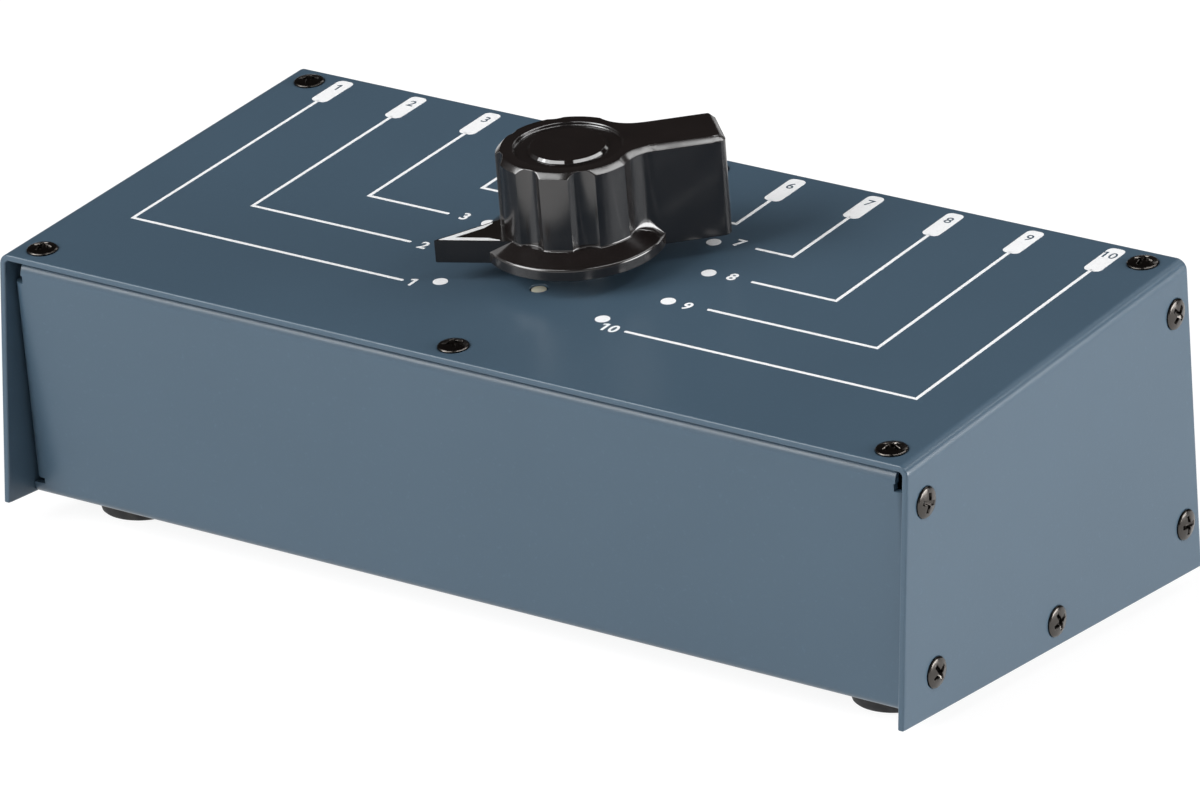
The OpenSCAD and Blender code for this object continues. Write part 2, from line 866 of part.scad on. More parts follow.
// Box header on a board whose face is at z = 0, opening upwards
module header() {
    difference() {
        translate([-header_width / 2, -header_height / 2, 0])
            cube([header_width, header_height, header_depth]);
        translate([header_wall - header_width / 2, header_wall - header_height / 2, header_floor])
            cube([
                header_width - 2 * header_wall,
                header_height - 2 * header_wall,
                header_depth
            ]);
    }
}

// Ribbon plug that fills the header's hollow and stands out of it
module plug() {
    width = header_width - 2 * header_wall - 2 * loose_gap;
    height = header_height - 2 * header_wall - 2 * loose_gap;
    translate([-width / 2, -height / 2, header_floor])
        cube([width, height, header_depth - header_floor + plug_reach]);
}

module on_jack_board() {
    panel_frame() for (side = [-1, 1])
        translate([side * ribbon_offset, jack_board_front, header_mid])
        rotate([90, 0, 0])
        children();
}

module under_switch_board() {
    panel_frame() for (side = [-1, 1])
        translate([side * ribbon_offset, switch_header_v, board_end]) rotate([180, 0, 0]) children();
}

module jack_board_headers() {
    color("#3a3a3c") on_jack_board() header();
}

module jack_board_plugs() {
    color("#55565a") on_jack_board() plug();
}

module switch_board_headers() {
    color("#3a3a3c") under_switch_board() header();
}

module switch_board_plugs() {
    color("#55565a") under_switch_board() plug();
}

// Ribbon: a straight run from the jack board and a quarter turn up to the switch board
module ribbon_section() {
    half = ribbon_thickness / 2;
    corner = [switch_header_v + ribbon_bend, header_mid + ribbon_bend];
    translate([corner[0], header_mid - half])
        square([ribbon_start - corner[0], ribbon_thickness]);
    translate(corner) intersection() {
        difference() {
            circle(ribbon_bend + half);
            circle(ribbon_bend - half);
        }
        translate([-2 * ribbon_bend, -2 * ribbon_bend]) square(2 * ribbon_bend);
    }
}

module ribbon_cable(side) {
    color("#8c9096") panel_frame()
        translate([side * ribbon_offset, 0, 0]) across(ribbon_width) ribbon_section();
}

module ribbon_cable_left() {
    ribbon_cable(-1);
}

module ribbon_cable_right() {
    ribbon_cable(1);
}

module switch_board() {
    color("#2f6b3f") dial_frame() difference() {
        translate([-switch_board_width / 2, -switch_board_depth / 2, board_end])
            cube([switch_board_width, switch_board_depth, board]);
        on_ties() translate([0, 0, board_end - overcut])
            cylinder(h = board + 2 * overcut, r = tie_radius + hole_gap);
    }
}

// Switch, fixed pieces
module on_ties() {
    for (side = [-1, 1]) translate([side * tie_distance, 0, 0]) children();
}

module switch_bush() {
    color("#b9a36a") dial_frame() difference() {
        union() {
            translate([0, 0, -sheet - bush_foot])
                cylinder(h = sheet + bush_foot + bush_height, r = bush_radius);
            translate([0, 0, -sheet - bush_flange_height])
                cylinder(h = bush_flange_height, r = bush_flange);
        }
        translate([0, 0, -sheet - bush_foot - overcut])
            cylinder(
                h = sheet + bush_foot + bush_height + 2 * overcut,
                r = shaft_radius + shaft_clearance
            );
    }
}

module switch_nut() {
    color("#c9cbcd") dial_frame() translate([0, 0, lock_washer]) difference() {
        hex_prism(bush_diameter + bush_nut_rim, bush_nut);
        translate([0, 0, -overcut])
            cylinder(h = bush_nut + 2 * overcut, r = bush_radius + seat_gap);
    }
}

module switch_lock_washer() {
    color("#c9cbcd") dial_frame() ring(bush_radius + lock_washer_rim, bush_radius + hole_gap, lock_washer);
}

module index_housing() {
    color("#d8d2bd") dial_frame() difference() {
        union() {
            translate([0, 0, housing_end])
                cylinder(h = housing_height, r = housing_radius);
            translate([0, -pin_distance, housing_top - bush_flange_height])
                cylinder(h = sheet + bush_flange_height - sweep_gap, d = pin_diameter);
        }
        translate([0, 0, housing_top - bush_flange_height])
            cylinder(h = bush_flange_height + overcut, r = bush_flange + hole_gap);
        translate([0, 0, housing_end])
            cylinder(h = housing_height, r = bush_radius + hole_gap);
        translate([0, 0, housing_end - overcut])
            cylinder(h = housing_floor - housing_end + overcut, r = housing_hollow);
        for (side = [-1, 1]) translate([0, side * (ball_axis - ball_radius), detent_mid])
            rotate([-90 * side, 0, 0])
            cylinder(h = spring_end - ball_axis + ball_radius, r = pocket_radius);
        on_ties() {
            translate([0, 0, housing_top - tie_pocket])
                cylinder(h = tie_pocket + overcut, r = tie_head + loose_gap);
            translate([0, 0, housing_end - overcut])
                cylinder(h = housing_height, r = tie_radius + hole_gap);
        }
    }
}

module index_cover() {
    color("#9fa3a6") dial_frame() translate([0, 0, stack_start]) difference() {
        cylinder(h = cover_plate, r = housing_radius);
        translate([0, 0, -overcut])
            cylinder(h = cover_plate + 2 * overcut, r = shaft_radius + sweep_gap);
        on_ties() translate([0, 0, -overcut])
            cylinder(h = cover_plate + 2 * overcut, r = tie_radius + hole_gap);
    }
}

module detent_balls() {
    color("#c9cbcd") dial_frame() for (side = [-1, 1])
        translate([0, side * ball_axis, detent_mid]) sphere(r = ball_radius);
}

module detent_springs() {
    color("#a7aaad") dial_frame() for (side = [-1, 1])
        translate([0, side * spring_start, detent_mid])
        rotate([-90 * side, 0, 0])
        ring(ball_radius - hole_gap, ball_radius - hole_gap - spring_wall, spring_end - spring_start);
}

module stop_pins() {
    first = lug_angle + stop_gap_angle;
    last = lug_angle - stop_turn - stop_gap_angle;
    color("#a7aaad") dial_frame() for (a = [first, last]) rotate([0, 0, a])
        translate([stop_ring, 0, housing_end])
        cylinder(h = detent_top - detent_thickness - housing_end - sweep_gap, r = stop_radius);
}

module wafer(top) {
    color("#8a5a33") dial_frame() translate([0, 0, top - wafer_thickness]) difference() {
        ring(housing_radius, wafer_hole, wafer_thickness);
        on_ties() translate([0, 0, -overcut])
            cylinder(h = wafer_thickness + 2 * overcut, r = tie_radius + hole_gap);
    }
}

module upper_wafer() {
    wafer(wafer_top[0]);
}

module lower_wafer() {
    wafer(wafer_top[1]);
}

// Places children at each contact, with x running out from the axis
module on_contacts() {
    for (k = [0 : contact_count - 1]) rotate([0, 0, (k + 0.5) * 360 / contact_count]) children();
}

module contacts(top, reach) {
    color("#d7c27a") dial_frame() on_contacts()
        translate([contact_inner, -contact_width / 2, top - wafer_thickness - contact_thickness])
        cube([reach - contact_inner, contact_width, contact_thickness]);
}

module upper_contacts() {
    contacts(wafer_top[0], upper_wire + pin_side);
}

module lower_contacts() {
    contacts(wafer_top[1], lower_wire + pin_side);
}

module wire_ring(top, distance) {
    start = top - wafer_thickness - contact_thickness;
    on_contacts() translate([distance - pin_side / 2, -pin_side / 2, board_top])
        cube([pin_side, pin_side, start - board_top]);
}

module deck_wires() {
    color("#c8cace") dial_frame() {
        wire_ring(wafer_top[0], upper_wire);
        wire_ring(wafer_top[1], lower_wire);
    }
}

module spacer_sleeves() {
    first = stack_start - wafer_top[0];
    between = wafer_pitch - wafer_thickness;
    last = wafer_top[1] - wafer_thickness - board_top;
    color("#b4b7ba") dial_frame() on_ties() {
        translate([0, 0, wafer_top[0]]) ring(sleeve_radius, tie_radius + hole_gap, first);
        translate([0, 0, wafer_top[1]]) ring(sleeve_radius, tie_radius + hole_gap, between);
        translate([0, 0, board_top]) ring(sleeve_radius, tie_radius + hole_gap, last);
    }
}

module tie_rods() {
    head_under = housing_top - tie_pocket;
    rod_end = board_end - tie_nut_height - rod_tail;
    color("#8d8f92") dial_frame() on_ties() {
        translate([0, 0, head_under]) cylinder(h = tie_head_height, r = tie_head);
        translate([0, 0, rod_end]) cylinder(h = head_under - rod_end, r = tie_radius);
    }
}

module tie_nuts() {
    color("#b4b7ba") dial_frame() on_ties()
        translate([0, 0, board_end - tie_nut_height]) difference() {
            hex_prism(tie_nut_flats, tie_nut_height);
            translate([0, 0, -overcut])
                cylinder(h = tie_nut_height + 2 * overcut, r = tie_radius + seat_gap);
        }
}

// Knob: x runs along the wing, the pointer lies on the other side
module barrel() {
    flat = barrel_radius - barrel_rounding;
    difference() {
        rotate_extrude() polygon(concat(
            [[0, knob_gap], [skirt_radius, knob_gap], [skirt_radius, knob_gap + skirt_rim]],
            [[barrel_radius, knob_gap + skirt_rise]],
            [for (a = [0 : 15 : 90])
                [flat + barrel_rounding * cos(a), knob_top - barrel_rounding * (1 - sin(a))]],
            [[0, knob_top]]
        ));
        for (a = flute_angles) rotate([0, 0, a]) translate([flute_axis, 0, knob_gap + skirt_rise])
            cylinder(h = knob_top, r = flute_radius);
        for (side = [-1, 1])
            translate([wing_flute_x, side * wing_flute_y, knob_gap + skirt_rise])
            cylinder(h = knob_top, r = wing_flute_radius);
    }
}

module rounded_box_end(length, width, radius) {
    translate([0, -width / 2]) square([length - radius, width]);
    translate([0, radius - width / 2]) square([length, width - 2 * radius]);
    for (side = [-1, 1])
        translate([length - radius, side * (width / 2 - radius)]) circle(radius);
}

module wing() {
    height = knob_top - knob_gap;
    intersection() {
        translate([0, 0, knob_gap]) linear_extrude(height)
            rounded_box_end(wing_length, wing_width, wing_rounding);
        rotate([90, 0, 90]) linear_extrude(wing_length)
            translate([0, knob_gap]) rotate(90) rounded_box_end(height, wing_width, wing_rounding);
        translate([0, wing_width, knob_gap]) rotate([90, 0, 0]) linear_extrude(2 * wing_width)
            rotate(90) mirror([0, 1])
            translate([0, wing_length / 2]) rounded_box_end(height, wing_length, wing_rounding);
    }
}

module pointer() {
    translate([0, 0, knob_gap]) linear_extrude(pointer_height) polygon([
        [-pointer_length, 0],
        [-pointer_root, -pointer_width / 2],
        [-pointer_root, pointer_width / 2]
    ]);
}

module knob_hollow() {
    cavity = barrel_radius - flute_depth - knob_wall;
    difference() {
        union() {
            translate([0, 0, knob_gap - overcut])
                cylinder(h = hollow_top - knob_gap + overcut, r = cavity);
            translate([0, knob_wall - wing_width / 2, knob_gap - overcut])
                cube([
                    wing_length - knob_wall,
                    wing_width - 2 * knob_wall,
                    hollow_top - knob_gap + overcut
                ]);
        }
        cylinder(h = knob_top, r = boss_radius);
    }
}

module knob_body() {
    color("#151517") knob_frame() difference() {
        union() {
            barrel();
            wing();
            pointer();
        }
        knob_hollow();
        translate([0, 0, knob_gap - overcut])
            cylinder(h = insert_length + overcut, r = insert_radius + seat_gap);
        translate([0, 0, knob_top - ring_depth]) cylinder(h = knob_top, r = ring_radius);
        rotate([0, 0, grub_angle]) translate([grub_start, 0, knob_gap + grub_height])
            rotate([0, 90, 0]) cylinder(h = barrel_radius, r = grub_diameter / 2 + loose_gap);
    }
}

module knob_cap() {
    floor_level = knob_top - ring_depth;
    color("#101012") knob_frame() translate([0, 0, floor_level]) rotate_extrude() polygon([
        [0, 0],
        [cap_radius, 0],
        [cap_radius - cap_bevel, ring_depth],
        [0, ring_depth]
    ]);
}

module knob_insert() {
    color("#c2a14e") knob_frame() difference() {
        translate([0, 0, knob_gap + seat_gap])
            cylinder(h = insert_length - 2 * seat_gap, r = insert_radius);
        cylinder(h = insert_top + overcut, r = shaft_radius + seat_gap);
        rotate([0, 0, grub_angle]) translate([0, 0, knob_gap + grub_height])
            rotate([0, 90, 0]) cylinder(h = barrel_radius, r = grub_diameter / 2 + seat_gap);
    }
}

module knob_grub_screw() {
    color("#6f7275") knob_frame() rotate([0, 0, grub_angle])
        translate([grub_start, 0, knob_gap + grub_height]) rotate([0, 90, 0]) difference() {
            cylinder(h = grub_length, d = grub_diameter);
            translate([0, 0, grub_length - grub_socket])
                hex_prism(grub_diameter / 2, grub_socket + overcut);
        }
}

module switch_shaft() {
    color("#b9bcbf") knob_frame() difference() {
        translate([0, 0, shaft_end]) cylinder(h = shaft_top - shaft_end, r = shaft_radius);
        rotate([0, 0, grub_angle])
            translate([shaft_radius - shaft_flat, -shaft_diameter, knob_gap + flat_margin])
            cube([shaft_diameter, 2 * shaft_diameter, shaft_top]);
    }
}

module shaft_clip() {
    color("#6f7275") knob_frame() translate([0, 0, bush_height + hole_gap]) difference() {
        ring(clip_radius, shaft_radius + seat_gap, clip_thickness);
        translate([0, -shaft_radius / 2, -overcut])
            cube([2 * clip_radius, shaft_radius, clip_thickness + 2 * overcut]);
    }
}

module detent_wheel() {
    lug_height = detent_top - detent_thickness - lug_end;
    color("#4b4d50") dial_frame() {
        difference() {
            translate([0, 0, detent_top - detent_thickness])
                cylinder(h = detent_thickness, r = detent_radius);
            translate([0, 0, housing_end]) cylinder(h = housing_height, r = shaft_radius + seat_gap);
            for (k = [0 : notch_count - 1]) rotate([0, 0, k * 360 / notch_count])
                translate([detent_radius + notch_size / 2, 0, housing_end])
                cylinder(h = housing_height, r = notch_size);
        }
        rotate([0, 0, lug_angle]) translate([stop_ring, 0, lug_end])
            cylinder(h = lug_height + overcut, r = stop_radius);
    }
}

module rotor(top) {
    color("#e8e6de") dial_frame() translate([0, 0, top - wafer_thickness])
        ring(rotor_radius, shaft_radius + seat_gap, wafer_thickness);
}

module upper_rotor() {
    rotor(wafer_top[0]);
}

module lower_rotor() {
    rotor(wafer_top[1]);
}

// Rotor blade: a ring on the rotor with one finger that sweeps under the contacts
module rotor_blade(top) {
    under = top - wafer_thickness;
    finger_top = under - contact_thickness - sweep_gap;
    finger_end = finger_top - contact_thickness;
    color("#d7c27a") dial_frame() {
        translate([0, 0, finger_end])
            ring(rotor_radius - blade_edge, rotor_radius - blade_edge - blade_width, under - finger_end);
        rotate([0, 0, 180 / contact_count])
            translate([rotor_radius - finger_root, -contact_width / 2, finger_end])
            cube([
                contact_inner - rotor_radius + finger_root + finger_overlap,
                contact_width,
                contact_thickness
            ]);
    }
}

module upper_rotor_blade() {
    rotor_blade(wafer_top[0]);
}

module lower_rotor_blade() {
    rotor_blade(wafer_top[1]);
}

cover();
base_tray();
rear_panel();
cover_top_screws();
cover_side_screws_left();
cover_side_screws_right();
rear_panel_screws();
foot_front_left();
foot_front_right();
foot_rear_left();
foot_rear_right();
foot_screws();
foot_washers();
foot_nuts();
input_jacks_upper();
input_jacks_lower();
output_jacks();
jack_nuts();
jack_washers();
jack_pins();
jack_board();
jack_board_headers();
jack_board_plugs();
ribbon_cable_left();
ribbon_cable_right();
switch_board();
switch_board_headers();
switch_board_plugs();
switch_bush();
switch_nut();
switch_lock_washer();
index_housing();
index_cover();
detent_balls();
detent_springs();
stop_pins();
upper_wafer();
lower_wafer();
upper_contacts();
lower_contacts();
deck_wires();
spacer_sleeves();
tie_rods();
tie_nuts();
knob_body();
knob_cap();
knob_insert();
knob_grub_screw();
switch_shaft();
shaft_clip();
detent_wheel();
upper_rotor();
lower_rotor();
upper_rotor_blade();
lower_rotor_blade();
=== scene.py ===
import math
from functools import partial

import bmesh
import bpy
import numpy as np
from bpy.props import FloatProperty, FloatVectorProperty, PointerProperty
from mathutils import Matrix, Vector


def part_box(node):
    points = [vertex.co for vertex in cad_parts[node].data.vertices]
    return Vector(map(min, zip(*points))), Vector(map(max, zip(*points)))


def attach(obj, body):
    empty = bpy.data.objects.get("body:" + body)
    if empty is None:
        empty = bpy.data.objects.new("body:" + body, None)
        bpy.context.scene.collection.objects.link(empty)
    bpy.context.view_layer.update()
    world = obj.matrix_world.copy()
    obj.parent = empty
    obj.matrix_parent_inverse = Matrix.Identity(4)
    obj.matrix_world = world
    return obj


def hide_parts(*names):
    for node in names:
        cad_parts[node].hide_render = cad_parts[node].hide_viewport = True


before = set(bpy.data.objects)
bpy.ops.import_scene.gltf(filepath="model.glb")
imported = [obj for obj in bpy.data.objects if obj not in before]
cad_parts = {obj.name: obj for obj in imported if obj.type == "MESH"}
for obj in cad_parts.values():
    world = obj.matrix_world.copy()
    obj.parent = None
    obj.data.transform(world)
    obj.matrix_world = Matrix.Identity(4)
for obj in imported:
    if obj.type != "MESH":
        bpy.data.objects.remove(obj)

bl_info = {
    "name": "Audio switch box",
    "version": (1, 0, 0),
    "blender": (4, 5, 0),
    "location": "View3D > Sidebar > Switch box",
    "description": "Dresses the packed audio switch box: sheet, knob, screws, print and stage",
    "category": "Object",
}

MM = 0.001
WELD = 1e-7
COVER_LOW, COVER_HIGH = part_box("cover")
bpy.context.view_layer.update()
SLOTS = {name: node.data.materials[0].name for name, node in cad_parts.items()}

# Places of the screws and the print, in millimetres across and up the sloping top
SCREW_INSET, SCREW_SIDE_INSET, SIDE_SCREW_DROP = 5.8, 7.7, 10.6
FRONT_SCREW_HEIGHT, REAR_SCREW_HEIGHT, FLOOR_SCREW_HEIGHT = 9.6, 12.0, 6.0
DIAL_V, DOT_CIRCLE, PIN_DISTANCE = 52.8, 30.5, 14.8
DIAL_START, DIAL_STEP, DIAL_COUNT = -135, 30, 10
COLUMN_PITCH = 20.8
TAG_FRONT, TAG_REAR, TAG_LABEL_V = 98.0, 110.0, 106.4
ROUTE_CORNERS = (28.2, 45.2, 61.0, 75.6, 84.4)
ROUTE_ENDS = (29.4, 39.5, 40.4, 31.8, 16.6)
LABELS = (
    (-26.8, 28.3), (-35.8, 45.0), (-36.3, 61.4), (-27.0, 76.5), (-12.7, 84.6),
    (12.7, 84.6), (27.0, 76.5), (35.3, 61.3), (34.6, 44.7), (25.9, 28.2),
)


# --- Settings ---

def metres(name, description, default):
    """A length."""
    return FloatProperty(name=name, description=description, default=default, unit="LENGTH")


def amount(name, description, default):
    """A plain number, such as a radiance."""
    return FloatProperty(name=name, description=description, default=default)


def tint(name, description, default):
    """A colour."""
    return FloatVectorProperty(
        name=name, description=description, default=default, subtype="COLOR", min=0, max=1)


class CaseLooks(bpy.types.PropertyGroup):
    """Sizes and paint of the folded case"""

    width: metres("Width", "Width over the sides of the cover", COVER_HIGH.x - COVER_LOW.x)
    front_height: metres(
        "Front height", "Height of the cover's front top edge above its lower edge", 0.059)
    top_depth: metres("Top depth", "Depth of the top along its slope", 0.112)
    slope: FloatProperty(
        name="Slope", description="Slope of the top", default=math.radians(7.7), subtype="ANGLE")
    sheet: metres("Sheet", "Thickness of the steel sheet", 0.0015)
    fold: metres("Fold", "Outer radius of the folds", 0.0025)
    edge: metres("Edge", "Rounding of the painted edges", 0.0004)
    paint: tint("Paint", "Colour of the satin paint", (0.0595, 0.1005, 0.142))
    rubber: tint("Rubber", "Colour of the feet", (0.016, 0.016, 0.017))


class KnobLooks(bpy.types.PropertyGroup):
    """Sizes and colour of the winged knob"""

    barrel: metres("Barrel", "Radius of the fluted barrel", 0.016)
    top: metres("Top", "Height of the flat top above the panel", 0.02825)
    gap: metres("Gap", "Air between the panel and the knob", 0.0047)
    skirt: metres("Skirt", "Radius of the skirt", 0.0202)
    wing_length: metres("Wing length", "Length of the wing from the axis", 0.0338)
    wing_width: metres("Wing width", "Width of the wing", 0.0148)
    pointer: metres("Pointer", "Length of the pointer from the axis", 0.0311)
    plastic: tint("Plastic", "Colour of the gloss plastic", (0.0058, 0.0044, 0.0042))


class PrintLooks(bpy.types.PropertyGroup):
    """Sizes and colour of the print on the top"""

    line: metres("Line", "Width of the routes", 0.0008)
    dot: metres("Dot", "Diameter of the dial dots", 0.00336)
    label: metres("Label", "Height of the dial numbers", 0.00335)
    tag: metres("Tag", "Width of the number tags", 0.0043)
    build: metres("Build", "Thickness of the ink", 0.00004)
    ink: tint("Ink", "Colour of the ink", (0.93, 0.94, 0.95))


class ScrewLooks(bpy.types.PropertyGroup):
    """Sizes and colour of the cover screws"""

    head: metres("Head", "Diameter of the heads", 0.007)
    dome: metres("Dome", "Height of the raised heads", 0.0007)
    cross: metres("Cross", "Length of the cross recess", 0.0044)
    metal: tint("Metal", "Colour of the black nickel", (0.088, 0.081, 0.075))


class StageLooks(bpy.types.PropertyGroup):
    """Light of the studio"""

    side: amount("Side light", "Radiance of the softbox beside the object", 11.4)
    strips: amount("Strip lights", "Radiance of the four strips overhead", 6.0)
    key: amount("Key light", "Radiance of the softbox in front on the left", 7.6)
    rear: amount("Rear light", "Radiance of the softbox behind the object", 1.7)
    front: amount("Front", "Brightness of the surroundings in front", 0.5)
    back: tint("Back", "Colour of the surroundings behind and overhead", (0.042, 0.036, 0.034))
    floor: tint("Floor", "Colour of the floor", (0.86, 0.86, 0.86))


# --- Surfaces ---

def grid(points, wrap=False):
    """Quads of a grid of rows x columns points; wrap joins the last column to the first."""
    rows, columns = points.shape[:2]
    index = np.arange(rows * columns).reshape(rows, columns)
    here = index if wrap else index[:, :-1]
    ahead = np.roll(index, -1, axis=1) if wrap else index[:, 1:]
    quads = np.stack([here[:-1], ahead[:-1], ahead[1:], here[1:]], -1)
    return points.reshape(-1, 3), quads.reshape(-1, 4)


def revolve(profile, turns=72):
    """Surface of revolution: each (radius, height) of the profile goes once round the axis."""
    turn = np.arange(turns) * 2 * np.pi / turns
    radius, height = np.asarray(profile, float).T[:, :, None]
    points = [radius * np.cos(turn), radius * np.sin(turn), height + 0 * turn]
    return grid(np.stack(points, -1), True)


def plate(outline, low, high):
    """A thin solid: an outline drawn at two heights, a wall between, and fans to its middle."""
    outline = np.asarray(outline, float)
    middle = np.broadcast_to(outline.mean(0), outline.shape)
    rows = [(middle, low), (outline, low), (outline, high), (middle, high)]
    points = np.stack([np.concatenate([p, np.full((len(p), 1), z)], 1) for p, z in rows])
    return grid(points, True)


def strip(left, right, low, high):
    """A thin solid between two edge lines: a flat section goes along them, and a face closes
    each end."""
    lift = np.ones((len(left), 1))
    corners = ((left, low), (left, high), (right, high), (right, low))
    loop = np.stack([np.hstack([line, z * lift]) for line, z in corners], 1)
    return [grid(loop, True)] + [(loop[i], np.array([[0, 1, 2, 3]])) for i in (0, -1)]


END_REACH = 0.35
END_STEPS, END_WIDTHS = np.array([0.0, 0.3, 1.0]), np.array([0.45, 0.85, 1.0])


def stroke(path, width, low, high):
    """A line of even width: the path's points move to both sides along the mitre, and the
    width falls as a half circle at both ends."""
    path = np.asarray(path, float)
    step = END_STEPS * (END_REACH * width)
    ahead, back = path[1] - path[0], path[-2] - path[-1]
    first = path[0] + np.outer(step, ahead) / np.linalg.norm(ahead)
    last = path[-1] + np.outer(step[::-1], back) / np.linalg.norm(back)
    path = np.concatenate([first, path[1:-1], last])
    even = np.ones(len(path) - 2 * len(END_WIDTHS))
    half = width / 2 * np.concatenate([END_WIDTHS, even, END_WIDTHS[::-1]])
    along = np.diff(path, axis=0)
    along /= np.linalg.norm(along, axis=1)[:, None]
    before, after = np.vstack([along[:1], along]), np.vstack([along, along[-1:]])
    mitre = before + after
    mitre /= np.sum(mitre * before, axis=1)[:, None]
    side = np.stack([-mitre[:, 1], mitre[:, 0]], 1) * half[:, None]
    return strip(path + side, path - side, low, high)


def rounded_box(width, depth, radius, steps=6):
    """Outline of a rectangle with round corners, centred, counter-clockwise."""
    turn = np.linspace(0, np.pi / 2, steps)
    corner = radius * np.stack([np.cos(turn), np.sin(turn)], 1)
    reach = (width / 2 - radius, depth / 2 - radius)
    middles = np.array([[1, 1], [-1, 1], [-1, -1], [1, -1]]) * reach
    turns = [np.array([[c, -s], [s, c]]) for c, s in ((1, 0), (0, 1), (-1, 0), (0, -1))]
    return np.concatenate([m + corner @ t.T for m, t in zip(middles, turns)])


def weld(patches):
    """Joins patches: points that fall together become one, and a quad that loses a side
    becomes a triangle or goes."""
    starts = np.cumsum([0] + [len(points) for points, _ in patches[:-1]])
    points = np.concatenate([points for points, _ in patches])
    quads = np.concatenate([quads + start for (_, quads), start in zip(patches, starts)])
    _, first, same = np.unique(
        np.round(points / WELD), axis=0, return_index=True, return_inverse=True)
    quads = same.reshape(-1)[quads]
    keep = quads != np.roll(quads, -1, axis=1)
    good = keep.sum(1) > 2
    totals = keep[good].sum(1)
    used, corners = np.unique(quads[good][keep[good]], return_inverse=True)
    return points[first][used], corners.reshape(-1), totals


def read(items, field, width=1, kind=np.int32):
    """A field of a mesh's items as one array, with a row for each item if it is wider than 1."""
    values = np.empty(len(items) * width, kind)
    items.foreach_get(field, values)
    return values.reshape(-1, width) if width > 1 else values


def new_object(name, mesh, slot, body, stands_for, sharp, finish=None):
    """Shades a mesh, gives it its slot's finish or another, and sets it on the frame as one
    piece."""
    mesh.shade_smooth()
    mesh.set_sharp_from_angle(angle=math.radians(sharp))
    mesh.materials.clear()
    mesh.materials.append(finish_of(finish or slot))
    piece = bpy.data.objects.new(name, mesh)
    bpy.context.scene.collection.objects.link(piece)
    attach(piece, body)
    if stands_for:
        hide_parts(*stands_for)
    return piece


def even_shading(piece):
    """Weights the normals by the size of the faces, so that flat faces shade flat."""
    piece.modifiers.new("Even shading", "WEIGHTED_NORMAL").keep_sharp = True


def make_piece(name, patches, slot, body="case", stands_for=(), sharp=35, finish=None):
    """Welds patches, given in frame metres, into one closed mesh whose faces look outwards."""
    points, corners, totals = weld(patches)
    mesh = bpy.data.meshes.new(name)
    mesh.vertices.add(len(points))
    mesh.vertices.foreach_set("co", points.astype(np.float32).ravel())
    mesh.loops.add(len(corners))
    mesh.loops.foreach_set("vertex_index", corners.astype(np.int32))
    mesh.polygons.add(len(totals))
    mesh.polygons.foreach_set("loop_start", (np.cumsum(totals) - totals).astype(np.int32))
    mesh.update(calc_edges=True)
    if mesh.validate():
        raise RuntimeError(f"{name}: the mesh has faces that fall together")
    outward = bmesh.new()
    outward.from_mesh(mesh)
    bmesh.ops.recalc_face_normals(outward, faces=outward.faces)
    outward.to_mesh(mesh)
    outward.free()
    even_shading(new_object(name, mesh, slot, body, stands_for, sharp, finish))


NODE_MERGE, NODE_FLAT, NODE_SHARP, BEVEL_FROM = 1e-6, 0.5, 30, 40


def dress_node(node, name, bevel, reshape=None):
    """A copy of a node's mesh, merged and freed of its flat cuts, with its edges broken. A
    reshape function may move its points first."""
    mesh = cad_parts[node].data.copy()
    if reshape:
        points = reshape(read(mesh.vertices, "co", 3, np.float32).astype(float))
        mesh.vertices.foreach_set("co", points.astype(np.float32).ravel())
    shape = bmesh.new()
    shape.from_mesh(mesh)
    bpy.data.meshes.remove(mesh)
    bmesh.ops.remove_doubles(shape, verts=shape.verts, dist=NODE_MERGE)
    bmesh.ops.dissolve_limit(
        shape, angle_limit=math.radians(NODE_FLAT), verts=shape.verts, edges=shape.edges)
    mesh = bpy.data.meshes.new(name)
    shape.to_mesh(mesh)
    shape.free()
    piece = new_object(name, mesh, SLOTS[node], "case", (node,), NODE_SHARP)
    broken = piece.modifiers.new("Broken edges", "BEVEL")
    broken.width = bevel
    broken.segments = 2
    broken.limit_method = "ANGLE"
    broken.angle_limit = math.radians(BEVEL_FROM)
    broken.use_clamp_overlap = True
    even_shading(piece)


# --- Places ---

